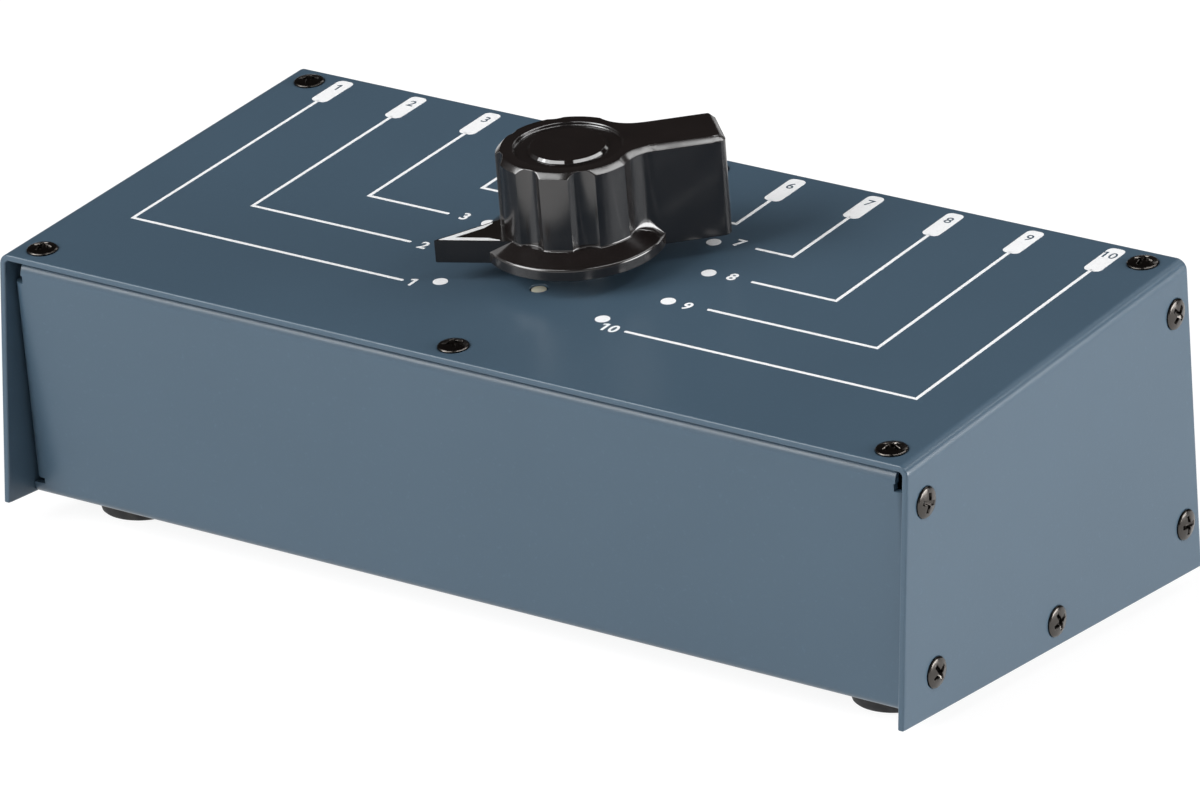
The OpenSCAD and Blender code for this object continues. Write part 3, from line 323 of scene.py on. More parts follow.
class CaseFrame:
    """Places of the case in millimetres: u across, v up the slope from the front top edge,
    h off the top; and the case's own y back from the front edge and z up from the lower."""

    def __init__(self, looks):
        self.half = looks.width / MM / 2
        self.front = looks.front_height / MM
        self.depth = looks.top_depth / MM
        self.sheet, self.fold, self.edge = looks.sheet / MM, looks.fold / MM, looks.edge / MM
        self.run, self.rise = math.cos(looks.slope), math.sin(looks.slope)
        self.tan = math.tan(looks.slope)
        self.lower_depth = self.depth / self.run + self.front * self.tan

    def to_panel(self, y, z):
        """The case's y and z as the panel's v and h."""
        return (y * self.run + (z - self.front) * self.rise,
                -y * self.rise + (z - self.front) * self.run)

    def panel_h(self, v, z):
        """The h of a point at v whose height over the lower edge is z."""
        return (z - self.front - v * self.rise) / self.run

    def world(self, points):
        """Panel points to the frame: a turn about X by the slope, then the cover's corner."""
        u, v, h = np.moveaxis(np.asarray(points, float), -1, 0)
        y = v * self.run - h * self.rise
        z = self.front + v * self.rise + h * self.run
        return np.stack([u * MM, y * MM + COVER_LOW.y, z * MM + COVER_LOW.z], -1)

    def knob_world(self, points, angle=math.radians(45)):
        """Knob points, x along the wing and z off the panel, to the frame."""
        x, y, z = np.moveaxis(np.asarray(points, float), -1, 0)
        c, s = math.cos(angle), math.sin(angle)
        return self.world(np.stack([c * x - s * y, DIAL_V + s * x + c * y, z], -1))

    def on_top(self, points, u, v):
        """Points that stand on the top at (u, v)."""
        return self.world(np.asarray(points, float) + (u, v, 0))

    def on_side(self, points, sign, v, h):
        """Points that stand on a side at (v, h): their z leaves the side."""
        x, y, z = np.moveaxis(np.asarray(points, float), -1, 0)
        return self.world(np.stack([sign * (self.half + z), v + x, h + sign * y], -1))

    def top_screws(self):
        """(u, v) of the six screws of the top."""
        reach = self.half - SCREW_SIDE_INSET
        rows = (SCREW_INSET, self.depth - SCREW_INSET)
        return [(u, v) for v in rows for u in (-reach, 0.0, reach)]

    def side_screws(self):
        """(v, h) of the five screws of a side."""
        rear = self.depth - SCREW_INSET
        return [
            (SCREW_INSET, -SIDE_SCREW_DROP),
            (SCREW_INSET, self.panel_h(SCREW_INSET, FRONT_SCREW_HEIGHT)),
            (rear, -SIDE_SCREW_DROP),
            (rear, self.panel_h(rear, REAR_SCREW_HEIGHT)),
            self.to_panel(self.lower_depth / 2, FLOOR_SCREW_HEIGHT),
        ]


def case_frame(context):
    """The places of the case as it is set now."""
    return CaseFrame(context.scene.switchbox_case)


def to_frame(patches, place, *where):
    """Sends the points of patches through one of the case's place functions."""
    return [(place(points, *where), quads) for points, quads in patches]


# --- Finishes ---

def add_node(tree, kind, inputs, **fields):
    """Adds a shader node, sets its fields, and gives each input a value or another's output."""
    node = tree.nodes.new("ShaderNode" + kind)
    for field, value in fields.items():
        setattr(node, field, value)
    for socket, value in inputs.items():
        if isinstance(value, bpy.types.NodeSocket):
            tree.links.new(value, node.inputs[socket])
        else:
            node.inputs[socket].default_value = value
    return node


def map_range(tree, value, source, target, kind):
    """Maps the source span of a value to two target levels, in a straight or a smooth step."""
    inputs = dict(zip(("From Min", "From Max", "To Min", "To Max"), (*source, *target)))
    step = add_node(tree, "MapRange", {"Value": value, **inputs}, interpolation_type=kind)
    return step.outputs["Result"]


class Finish:
    """A node material that is built up step by step on Object coordinates."""

    def __init__(self, name, colour, roughness, metallic=0.0, **sockets):
        self.material = bpy.data.materials.new(name)
        self.material.use_nodes = True
        self.tree = self.material.node_tree
        self.shader = self.tree.nodes["Principled BSDF"]
        self.colour = (*colour, 1)
        sockets.update(Base_Color=self.colour, Roughness=roughness, Metallic=metallic)
        for socket, value in sockets.items():
            self.shader.inputs[socket.replace("_", " ")].default_value = value
        self.place = add_node(self.tree, "TexCoord", {}).outputs["Object"]

    def noise(self, size, detail=3.0, stretch=None):
        """Noise whose grains are about size metres wide, and finer along an axis by stretch."""
        place = self.place
        if stretch:
            squeeze = add_node(self.tree, "Mapping", {"Vector": place, "Scale": stretch})
            place = squeeze.outputs["Vector"]
        inputs = {"Vector": place, "Scale": 1 / size, "Detail": detail}
        return add_node(self.tree, "TexNoise", inputs).outputs["Fac"]

    def span(self, value, low, high, start=0.3, end=0.7):
        """Maps a value between start and end to low and high."""
        return map_range(self.tree, value, (start, end), (low, high), "LINEAR")

    def cloud(self, other, value, start=0.3, end=0.7):
        """Mixes the colour towards another colour while a value goes from start to end."""
        base = self.shader.inputs["Base Color"]
        before = base.links[0].from_socket if base.is_linked else self.colour
        inputs = {"Factor": self.span(value, 0, 1, start, end), 6: before, 7: (*other, 1)}
        mix = add_node(self.tree, "Mix", inputs, data_type="RGBA")
        self.tree.links.new(mix.outputs[2], base)

    def gloss(self, value, low, high):
        """Sets the roughness between low and high by a value around a half."""
        self.tree.links.new(self.span(value, low, high), self.shader.inputs["Roughness"])

    def relief(self, value, height):
        """Adds a bump of the given height in metres; later ones lie on earlier ones."""
        inputs = {"Strength": 1.0, "Distance": height, "Height": value}
        normal = self.shader.inputs["Normal"]
        if normal.is_linked:
            inputs["Normal"] = normal.links[0].from_socket
        bump = add_node(self.tree, "Bump", inputs)
        self.tree.links.new(bump.outputs["Normal"], normal)
        return self.material


def shade(colour, factor):
    """A colour made lighter or darker by a factor."""
    return tuple(min(1.0, c * factor) for c in colour)


def moulded(name, colour, roughness, grain=0.0004, height=0.000004, **sockets):
    """Moulded plastic: cloudy colour, a fine moulded grain and uneven gloss."""
    f = Finish(name, colour, roughness, **sockets)
    f.cloud(shade(colour, 0.86), f.noise(0.012))
    f.gloss(f.noise(0.003), roughness * 0.85, roughness * 1.2)
    return f.relief(f.noise(grain, 2), height)


def plated(name, colour, roughness):
    """Plated metal: fine marks, cloudy gloss and darker stains."""
    f = Finish(name, colour, roughness, 1.0)
    f.cloud(shade(colour, 0.8), f.noise(0.004))
    f.gloss(f.noise(0.0006, 4), roughness * 0.75, roughness * 1.35)
    return f.relief(f.noise(0.00025, 2), 0.000002)


def case_paint(colour):
    """Satin stoved paint: a fine orange peel, faint clouds of colour and gloss, and specks."""
    f = Finish("case_paint", colour, 0.31, Specular_IOR_Level=0.45)
    f.cloud(shade(colour, 0.955), f.noise(0.045, 4))
    f.cloud(shade(colour, 1.10), f.noise(0.0009, 2), 0.62, 0.78)
    f.gloss(f.noise(0.02), 0.28, 0.34)
    f.relief(f.noise(0.0016, 2), 0.0000065)
    return f.relief(f.noise(0.0004, 1), 0.0000018)


def knob_plastic(name, colour, roughness):
    """Polished black moulding: faint waviness, hairline scratches and handled gloss."""
    f = Finish(name, colour, roughness, Specular_IOR_Level=1.0)
    f.cloud(shade(colour, 1.5), f.noise(0.009))
    f.gloss(f.noise(0.005, 4), roughness * 0.8, roughness * 1.25)
    f.relief(f.noise(0.004, 1), 0.000004)
    return f.relief(f.noise(0.0003, 3, (1, 6, 1)), 0.0000006)


def ink(name, colour, roughness, other, thin, gloss):
    """Screen print ink: a trace of the mesh, and tiny thin places of another shade."""
    f = Finish(name, colour, roughness)
    f.cloud(shade(colour, other), f.noise(0.0006, 2), *thin)
    f.gloss(f.noise(0.001), *gloss)
    return f.relief(f.noise(0.00018, 1), 0.000003)


def foot_rubber(colour):
    """Moulded rubber: matte, dusty, with a fine grain."""
    f = Finish("foot_rubber", colour, 0.72)
    f.cloud((0.05, 0.048, 0.045), f.noise(0.0035, 5), 0.5, 0.8)
    f.gloss(f.noise(0.002), 0.62, 0.8)
    return f.relief(f.noise(0.00035, 3), 0.00002)


def board_laminate():
    """Circuit board: green lacquer over a faint glass weave, with lighter tracks."""
    f = Finish("board_green", (0.012, 0.075, 0.028), 0.35)
    weave = add_node(f.tree, "TexBrick", {"Scale": 220, "Vector": f.place})
    f.cloud((0.02, 0.13, 0.05), f.noise(0.006, 1, (1, 7, 7)), 0.52, 0.56)
    f.gloss(f.noise(0.004), 0.28, 0.42)
    return f.relief(weave.outputs["Fac"], 0.000006)


WIRE_PITCH = 0.00127


def ribbon_finish():
    """Ribbon cable: grey jackets side by side, one wave for every two wires."""
    colour = (0.33, 0.34, 0.36)
    f = Finish("ribbon_grey", colour, 0.5)
    bands = {"Scale": 1 / WIRE_PITCH / 2 * math.pi / 10, "Vector": f.place}
    wave = add_node(f.tree, "TexWave", bands, bands_direction="X")
    f.cloud(shade(colour, 0.85), f.noise(0.01))
    f.gloss(f.noise(0.003), 0.42, 0.6)
    return f.relief(wave.outputs["Fac"], 0.0001)


# Colour and roughness; for a plastic also the size and height of its grain
METALS = {
    "zinc_steel": ((0.42, 0.43, 0.45), 0.34),
    "nickel": ((0.62, 0.61, 0.58), 0.2),
    "tinned": ((0.55, 0.55, 0.56), 0.36),
    "brass": ((0.56, 0.38, 0.13), 0.28),
    "contact_metal": ((0.62, 0.50, 0.24), 0.24),
    "wheel_steel": ((0.30, 0.31, 0.33), 0.38),
}
PLASTICS = {
    "jack_plastic": ((0.014, 0.014, 0.015), 0.42),
    "header_plastic": ((0.02, 0.02, 0.022), 0.5),
    "wafer_brown": ((0.19, 0.085, 0.03), 0.55, 0.0008, 0.00001),
    "rotor_white": ((0.66, 0.66, 0.63), 0.4),
}
FINISHES = {}


def make_finishes(scene):
    """One finish for each material slot of the record, the cap's, and the two inks."""
    paint, plastic = tuple(scene.switchbox_case.paint), tuple(scene.switchbox_knob.plastic)
    for name, look in METALS.items():
        FINISHES[name] = plated(name, *look)
    for name, look in PLASTICS.items():
        FINISHES[name] = moulded(name, *look)
    for name, roughness in (("knob_black", 0.17), ("cap_black", 0.06)):
        FINISHES[name] = knob_plastic(name, plastic, roughness)
    FINISHES.update({
        "case_paint": case_paint(paint),
        "black_nickel": plated("black_nickel", tuple(scene.switchbox_screws.metal), 0.2),
        "foot_rubber": foot_rubber(tuple(scene.switchbox_case.rubber)),
        "board_green": board_laminate(),
        "ribbon_grey": ribbon_finish(),
        "cream_plastic": moulded(
            "cream_plastic", (0.80, 0.76, 0.60), 0.42, Subsurface_Weight=0.08),
        "print_ink": ink("print_ink", tuple(scene.switchbox_print.ink), 0.5, 0.9,
                         (0.55, 0.75), (0.45, 0.6)),
        "tag_ink": ink("tag_ink", shade(paint, 0.8), 0.45, 1.15, (0.3, 0.7), (0.4, 0.5)),
    })


def finish_of(name):
    """A finish by its name; all are made at the first call."""
    if not FINISHES:
        make_finishes(bpy.context.scene)
    return FINISHES[name]


# --- Cover ---

BLOCK_CELLS, SHARE_ROUNDS = 8, 30
SCREW_BLOCK, PIN_BLOCK = 4.7, 3.3
SIDE_HEIGHT, SIDE_DEPTH = 62.0, 116.0
EDGE_STEPS, FOLD_STEPS, CORNER_STEPS = 6, 15, 5
# Radius and depth of the rings of a seat
SCREW_SEAT = ((3.85, 0.0), (3.6, 0.03), (3.45, 0.12), (2.6, 0.95), (0.0, 0.95))
PIN_SEAT = ((2.3, 0.0), (2.16, 0.03), (2.1, 0.12), (2.1, 1.35), (0.0, 1.35))


def block_lines(blocks):
    """Grid lines spaced evenly across each hole's block, all in order and each once."""
    lines = [np.linspace(at - reach, at + reach, BLOCK_CELLS + 1) for at, reach in blocks]
    return np.unique(np.round(np.concatenate(lines), 7))


def nearest(lines, at, reach):
    """Numbers of the lines at both ends of a block."""
    return [int(np.argmin(abs(lines - end))) for end in (at - reach, at + reach)]


def side_share(case, v, h):
    """Depth share q and height share f of a point of a side: the side is ruled between its
    lower edge and the fold, so q and f follow from each other and settle in a few rounds."""
    y = v * case.run - h * case.rise
    z = case.front + v * case.rise + h * case.run
    front_v = -case.fold * case.tan
    fold_z = [case.front + a * case.rise - case.fold * case.run for a in (front_v, case.depth)]
    fold_y = case.depth * case.run + case.fold * case.rise
    q = y / case.lower_depth
    for _ in range(SHARE_ROUNDS):
        f = z / (fold_z[0] + q * (fold_z[1] - fold_z[0]))
        q = y / ((1 - f) * case.lower_depth + f * fold_y)
    return q, f


def cover_holes(case):
    """The holes of the top and of a side. Each has its block's middle and reach across, the
    same along as shares of the depth, its place and its seat."""
    top = [(u, v, SCREW_BLOCK, SCREW_SEAT) for u, v in case.top_screws()]
    top.append((0.0, DIAL_V - PIN_DISTANCE, PIN_BLOCK, PIN_SEAT))
    top = [((u, block), (v / case.depth, block / case.depth), (u, v), seat)
           for u, v, block, seat in top]
    side = []
    for v, h in case.side_screws():
        q, f = side_share(case, v, h)
        across, along = (f, SCREW_BLOCK / SIDE_HEIGHT), (q, SCREW_BLOCK / SIDE_DEPTH)
        side.append((across, along, (v, h), SCREW_SEAT))
    return top, side


def cover_patches(case):
    """Folded cover. Across: a side, a fold, the top, a fold and a side. Along: a closed loop
    over the outer face, round the rear edge, back under the inner face and round the front
    edge, whose corners have the edge's rounding. The loop goes along the fold line and
    shrinks at both lower ends, and each hole is a block of the grid that is taken out and
    filled by rings that lead from the block's border down into a seat."""
    t, r, fold = case.sheet, case.edge, case.fold
    top, side = cover_holes(case)
    q_lines = block_lines([along for _, along, _, _ in top + side])
    u_lines, f_lines = (block_lines([hole[0] for hole in holes]) for holes in (top, side))

    # Stations across: sign of the side, share up the side, lift, fold angle, u, inset
    turn = np.linspace(0, np.pi / 2, EDGE_STEPS)
    rows = [(-1, 0.0, r * (1 - math.cos(a)), 0.0, 0.0, r * (1 - math.sin(a))) for a in turn]
    rows += [(-1, f, 0.0, 0.0, 0.0, 0.0) for f in f_lines]
    rows += [(-1, 1.0, 0.0, a, 0.0, 0.0) for a in np.linspace(0, np.pi / 2, FOLD_STEPS)]
    middle = [(0, 1.0, 0.0, 0.0, u, 0.0) for u in u_lines]
    mirror = [(1, *row[1:]) for row in rows[::-1]]
    station = np.array(rows + middle + mirror)[:, :, None]
    sign, share, lift, angle, across, inset = np.moveaxis(station, 1, 0)

    # Loop along: share q of the depth, corner's middle and direction, along and inwards
    arc = np.linspace(0, np.pi / 2, CORNER_STEPS)
    c, s, one = np.cos(arc), np.sin(arc), np.ones(len(arc))
    flat = np.zeros(len(q_lines))
    outer = [np.concatenate(run) for run in (
        [0 * one, q_lines, one], [r * one, flat, -r * one], [-c, flat, c[::-1]],
        [r * one, flat + r, r * one], [-s, flat - 1, -s[::-1]])]
    inner = [x[::-1] for x in outer]
    inner[3], inner[4] = t - inner[3], -inner[4]
    q, slide, go, rest, sink = (np.concatenate(x)[None, :] for x in zip(outer, inner))
    shift = slide + (r - inset) * go
    deep = rest + (r - inset) * sink

    # Top and folds
    ex, ez = sign * np.cos(angle), np.where(sign == 0, 1.0, np.sin(angle))
    u = np.where(sign == 0, across, sign * (case.half - fold) + (fold - deep) * ex)
    h = np.where(sign == 0, -deep, -fold + (fold - deep) * ez)
    v = h * case.tan + q * (case.depth - h * case.tan)
    # Sides, ruled from the lower edge to the fold
    on_side = (sign != 0) & (share < 1)
    fold_v = -fold * case.tan + q * (case.depth + fold * case.tan)
    low_v, low_h = case.to_panel(q * case.lower_depth, 0.0)
    up = share + lift / (case.front + fold_v * case.rise - fold * case.run)
    u = np.where(on_side, sign * (case.half - deep), u)
    v = np.where(on_side, low_v + up * (fold_v - low_v), v)
    h = np.where(on_side, low_h + up * (-fold - low_h), h)
    points = np.stack(np.broadcast_arrays(u, v + shift, h), -1)

    # Blocks that the holes take: first and last station, and the side they are on
    taken = np.zeros((points.shape[0] - 1, points.shape[1]), bool)
    blocks = []
    for block, *hole in top:
        s0, s1 = (len(rows) + k for k in nearest(u_lines, *block))
        blocks.append((s0, s1, 0, *hole))
    last = len(station) - 1
    for block, *hole in side:
        s0, s1 = (len(turn) + k for k in nearest(f_lines, *block))
        blocks += [(s0, s1, -1, *hole), (last - s1, last - s0, 1, *hole)]
    patches = []
    for s0, s1, facing, along, place, seat in blocks:
        k0, k1 = (len(arc) + k for k in nearest(q_lines, *along))
        taken[s0:s1, k0:k1] = True
        border = np.concatenate([
            points[s0, k0:k1], points[s0:s1, k1], points[s1, k1:k0:-1], points[s1:s0:-1, k0]])
        patches.append(seat_rings(case, border, facing, place, seat))
    skin, quads = grid(points, True)
    patches.append((skin, quads[~taken.reshape(-1)]))
    half = points.shape[1] // 2
    ends = [grid(np.stack([end[:half], end[::-1][:half]])) for end in (points[0], points[-1])]
    return patches + ends


def seat_rings(case, border, facing, place, seat):
    """Rings from a block's border to circles that sink into the sheet: each border point
    keeps its direction from the hole's middle."""
    a, b = (border[:, 1:] if facing else border[:, :2]).T
    angle = np.arctan2(b - place[1], a - place[0])
    rings = [border]
    for radius, deep in seat:
        p, q = place[0] + radius * np.cos(angle), place[1] + radius * np.sin(angle)
        side = [0 * p + facing * (case.half - deep), p, q]
        ring = side if facing else [p, q, 0 * p - deep]
        rings.append(np.stack(ring, 1))
    return grid(np.stack(rings), True)


class SWITCHBOX_OT_cover(bpy.types.Operator):
    """Make the folded cover with its rounded edges, folds and seats"""
    bl_idname = "switchbox.cover"
    bl_label = "Cover"

    def execute(self, context):
        case = case_frame(context)
        patches = to_frame(cover_patches(case), case.world)
        make_piece("cover_sheet", patches, "case_paint", stands_for=("cover",), sharp=40)
        return {"FINISHED"}


# --- Tray and rear panel ---

WALL_EDGE = 0.00025
FRONT_FACE, FLANGE_LEVEL, BEND_RADIUS, SOFT_RADIUS = 1.3, -1.75, 2.5, 3.6
NOTCH_INNER, FLANGE_END, NOTCH_WIDER = 117.0, 117.15, 1.5
BEND_NEAR, END_NEAR, BEND_LEAN, FRONT_ZONE = 0.02, 0.06, 2.5, 14.0


def wider_bend(case, points):
    """Softens the front bend: points on its outer arc go to the same direction on a wider arc
    that touches the wall and the flange too, the notches' lower edges sink as much, and the
    flange's ends draw in to widen the notches."""
    y, z = points[:, 1] / MM - COVER_LOW.y / MM, points[:, 2] / MM - COVER_LOW.z / MM
    v, h = case.to_panel(y, z)
    u, reach = points[:, 0] / MM, abs(points[:, 0]) / MM
    grow = SOFT_RADIUS - BEND_RADIUS
    across, up = v - FRONT_FACE - BEND_RADIUS, h - FLANGE_LEVEL + BEND_RADIUS
    arc = abs(np.hypot(across, up) - BEND_RADIUS) < BEND_NEAR
    arc &= (up > -BEND_NEAR) & (up < -BEND_LEAN * across)
    notch = (abs(up) < BEND_NEAR) & (reach > NOTCH_INNER) & (v < FRONT_ZONE)
    end = (abs(reach - FLANGE_END) < END_NEAR) & (up > -BEND_NEAR) & (v < FRONT_ZONE)
    u = u - np.where(end, np.sign(u) * NOTCH_WIDER, 0.0)
    share = np.where(arc, grow / BEND_RADIUS, 0.0)
    v = v + np.where(arc, grow, 0.0) + share * across
    h = h - np.where(arc | notch, grow, 0.0) + share * up
    return case.world(np.stack([u, v, h], 1))


class SWITCHBOX_OT_walls(bpy.types.Operator):
    """Make the base tray and the rear panel with broken edges"""
    bl_idname = "switchbox.walls"
    bl_label = "Tray and rear panel"

    def execute(self, context):
        bend = partial(wider_bend, case_frame(context))
        dress_node("base_tray", "tray_sheet", WALL_EDGE, bend)
        dress_node("rear_panel", "rear_sheet", WALL_EDGE)
        return {"FINISHED"}


# --- Screws ---

HEAD_LIFT, UNDER_RIM = 0.395, ((0.0, 0.2), (0.05, 0.26))
SHANK_RADIUS, SHANK_LENGTH = 1.75, 7.0
CROSS_HALF_WIDTH, CROSS_WALL, CROSS_DEPTH = 0.52, 0.1, 1.25
CROSS_RISE, CROSS_RISE_POWER = 0.62, 1.5
RIM_BEVEL, CROSS_BEVEL = 0.25, 0.07
MIDDLE_LINE, ARM_LINES, ARM_END_LINE = 0.14, (0.75, 1.1, 1.45), 0.15
RIM_LINES = (2.4, 2.75, 3.05, 3.25, 3.4)
ROUND_FROM, ROUND_SPAN = 0.6, 0.36
SCREW_TURNS = (12, 47, 74, 31, 63, 5, 22, 80, 38, 55, 9, 70, 26, 43, 86, 17)


def screw_patches(looks):
    """Raised head with a cross: a square grid is drawn into a disc near its rim and stays
    square in the middle. Its height is a ball's cap with a bevelled rim, less a cross whose
    edge is bevelled and whose floor rises outwards. Rings lead from the rim under the head
    and down the shank."""
    head, dome, arm = looks.head / MM / 2, looks.dome / MM, looks.cross / MM / 2
    ball = (head * head + dome * dome) / (2 * dome)
    wide = CROSS_HALF_WIDTH
    steps = np.array([
        MIDDLE_LINE, wide - CROSS_WALL, wide, wide + CROSS_BEVEL, *ARM_LINES,
        arm - CROSS_WALL, arm, arm + ARM_END_LINE, *RIM_LINES, head])
    lines = np.concatenate([-steps[::-1], [0], steps])
    x, y = np.meshgrid(lines, lines, indexing="ij")
    square = np.maximum(abs(x), abs(y))
    round_by = square / np.maximum(np.hypot(x, y), 1e-9)
    share = np.clip((square / head - ROUND_FROM) / ROUND_SPAN, 0, 1)
    share = share * share * (3 - 2 * share)
    px, py = x * (1 - share + share * round_by), y * (1 - share + share * round_by)
    r = np.hypot(px, py)
    cap = np.minimum(r, head - RIM_BEVEL)
    z = HEAD_LIFT + dome - (ball - np.sqrt(ball * ball - cap * cap)) - (r - cap)
    inside = np.minimum(np.maximum(abs(x) - arm, abs(y) - wide),
                        np.maximum(abs(y) - arm, abs(x) - wide))
    z = z - np.clip(CROSS_BEVEL - inside, 0, CROSS_BEVEL)
    rise = CROSS_RISE * np.clip(r / arm, 0, 1) ** CROSS_RISE_POWER
    floor = HEAD_LIFT + dome - CROSS_DEPTH * (1 - rise)
    z = z + np.clip(-inside / CROSS_WALL, 0, 1) * np.minimum(floor - z, 0)
    points = np.stack([px, py, z], -1)
    rim = np.concatenate(
        [points[0, :-1], points[:-1, -1], points[-1, :0:-1], points[:0:-1, 0]])
    direction = rim[:, :2] / np.linalg.norm(rim[:, :2], axis=1)[:, None]
    under = [(head - inset, HEAD_LIFT - drop) for inset, drop in UNDER_RIM]
    under += [(SHANK_RADIUS, HEAD_LIFT - head + SHANK_RADIUS), (SHANK_RADIUS, -SHANK_LENGTH),
              (0.0, -SHANK_LENGTH)]
    rows = [np.concatenate([direction * radius, np.full((len(rim), 1), height)], 1)
            for radius, height in under]
    return [grid(points), grid(np.stack([rim, *rows]), True)]


def turned(patches, degrees):
    """Patches turned about their own upright axis."""
    c, s = math.cos(math.radians(degrees)), math.sin(math.radians(degrees))
    spin = np.array([[c, s, 0], [-s, c, 0], [0, 0, 1]])
    return [(points @ spin, quads) for points, quads in patches]


class SWITCHBOX_OT_screws(bpy.types.Operator):
    """Make the cover screws, each turned its own way"""
    bl_idname = "switchbox.screws"
    bl_label = "Cover screws"

    def execute(self, context):
        case = case_frame(context)
        screw = screw_patches(context.scene.switchbox_screws)
        turns = iter(SCREW_TURNS)
        rows = [("top", "cover_top_screws", case.on_top, case.top_screws())]
        for sign, side in ((-1, "left"), (1, "right")):
            places = [(sign, v, h) for v, h in case.side_screws()]
            rows.append((side, f"cover_side_screws_{side}", case.on_side, places))
        for name, node, place, places in rows:
            patches = []
            for where in places:
                patches += to_frame(turned(screw, next(turns)), place, *where)
            make_piece(f"screws_{name}", patches, "black_nickel", stands_for=(node,))
        return {"FINISHED"}


# --- Knob ---

SKIRT_RIM, SKIRT_RISE, SKIRT_LIP, LIP_RUN, SKIRT_BEVEL = 2.6, 5.3, 0.4, 0.8, 0.25
# Shares of the lip: inwards and up from the skirt's rim
LIP_ARC = ((0.0, -1.0), (0.08, -0.45), (0.42, 0.05))
FLUTE_DEPTH, FLUTE_RADIUS, FLUTE_TURNS = 1.4, 4.7, (90, 135, 180, 225, 270)
WING_FLUTE_DEPTH, WING_FLUTE_RADIUS, WING_ROUNDING = 0.6, 8.0, 1.8
BARREL_EDGE, WING_EDGE, FLUTE_EDGE = (1.15, 1.03), (1.25, 1.05), (0.2, 2.0)
FOOT_FILLET, WING_FILLET, WING_FILLET_TURN, FILLET_HOLLOW = 0.3, 2.3, 0.45, 0.9
FILLET_SPREAD, FILLET_LIMIT, FILLET_STEPS, EDGE_ROWS = 0.16, 0.85, 8, 12
POINTER_ROOT, POINTER_HALF_WIDTH = 12.0, 7.3
INSERT_RADIUS, INSERT_LENGTH = 5.45, 15.05
CAP_RADIUS, CAP_ROOT, CAP_SIDES = 9.0, 0.4, 144
RING_RADIUS, RING_DEPTH, RING_MARGIN = 12.0, 0.8, 0.6
# Ring wall: out from the ring's radius and down from the top
RING_WALL = (
    (0.24, 0.0), (0.2, 0.015), (0.17, 0.045), (0.03, 0.185), (0.01, 0.215), (0, 0.25), (0, 0.55),
    (-0.01, 0.585), (-0.03, 0.615), (-0.17, 0.755), (-0.2, 0.785), (-0.24, RING_DEPTH),
    (-RING_RADIUS, RING_DEPTH))
# Cap bevel: in from the cap's radius and down from the top
CAP_BEVEL = ((0.0, 0.66), (0.02, 0.61), (0.05, 0.58), (0.57, 0.06), (0.6, 0.03), (0.67, 0.0))
COLUMN_STEP, CORNER_COLUMNS = 0.75, 8
SEARCH_LOW, SEARCH_HIGH, SEARCH_ROUNDS, FLAT_NEAR = 5.0, 40.0, 48, 1e-5


def farthest(low, high, holds):
    """Halves many spans at once, to the last radius between low and high at which holds is
    true."""
    for _ in range(SEARCH_ROUNDS):
        middle = (low + high) / 2
        good = holds(middle)
        low, high = np.where(good, middle, low), np.where(good, high, middle)
    return low


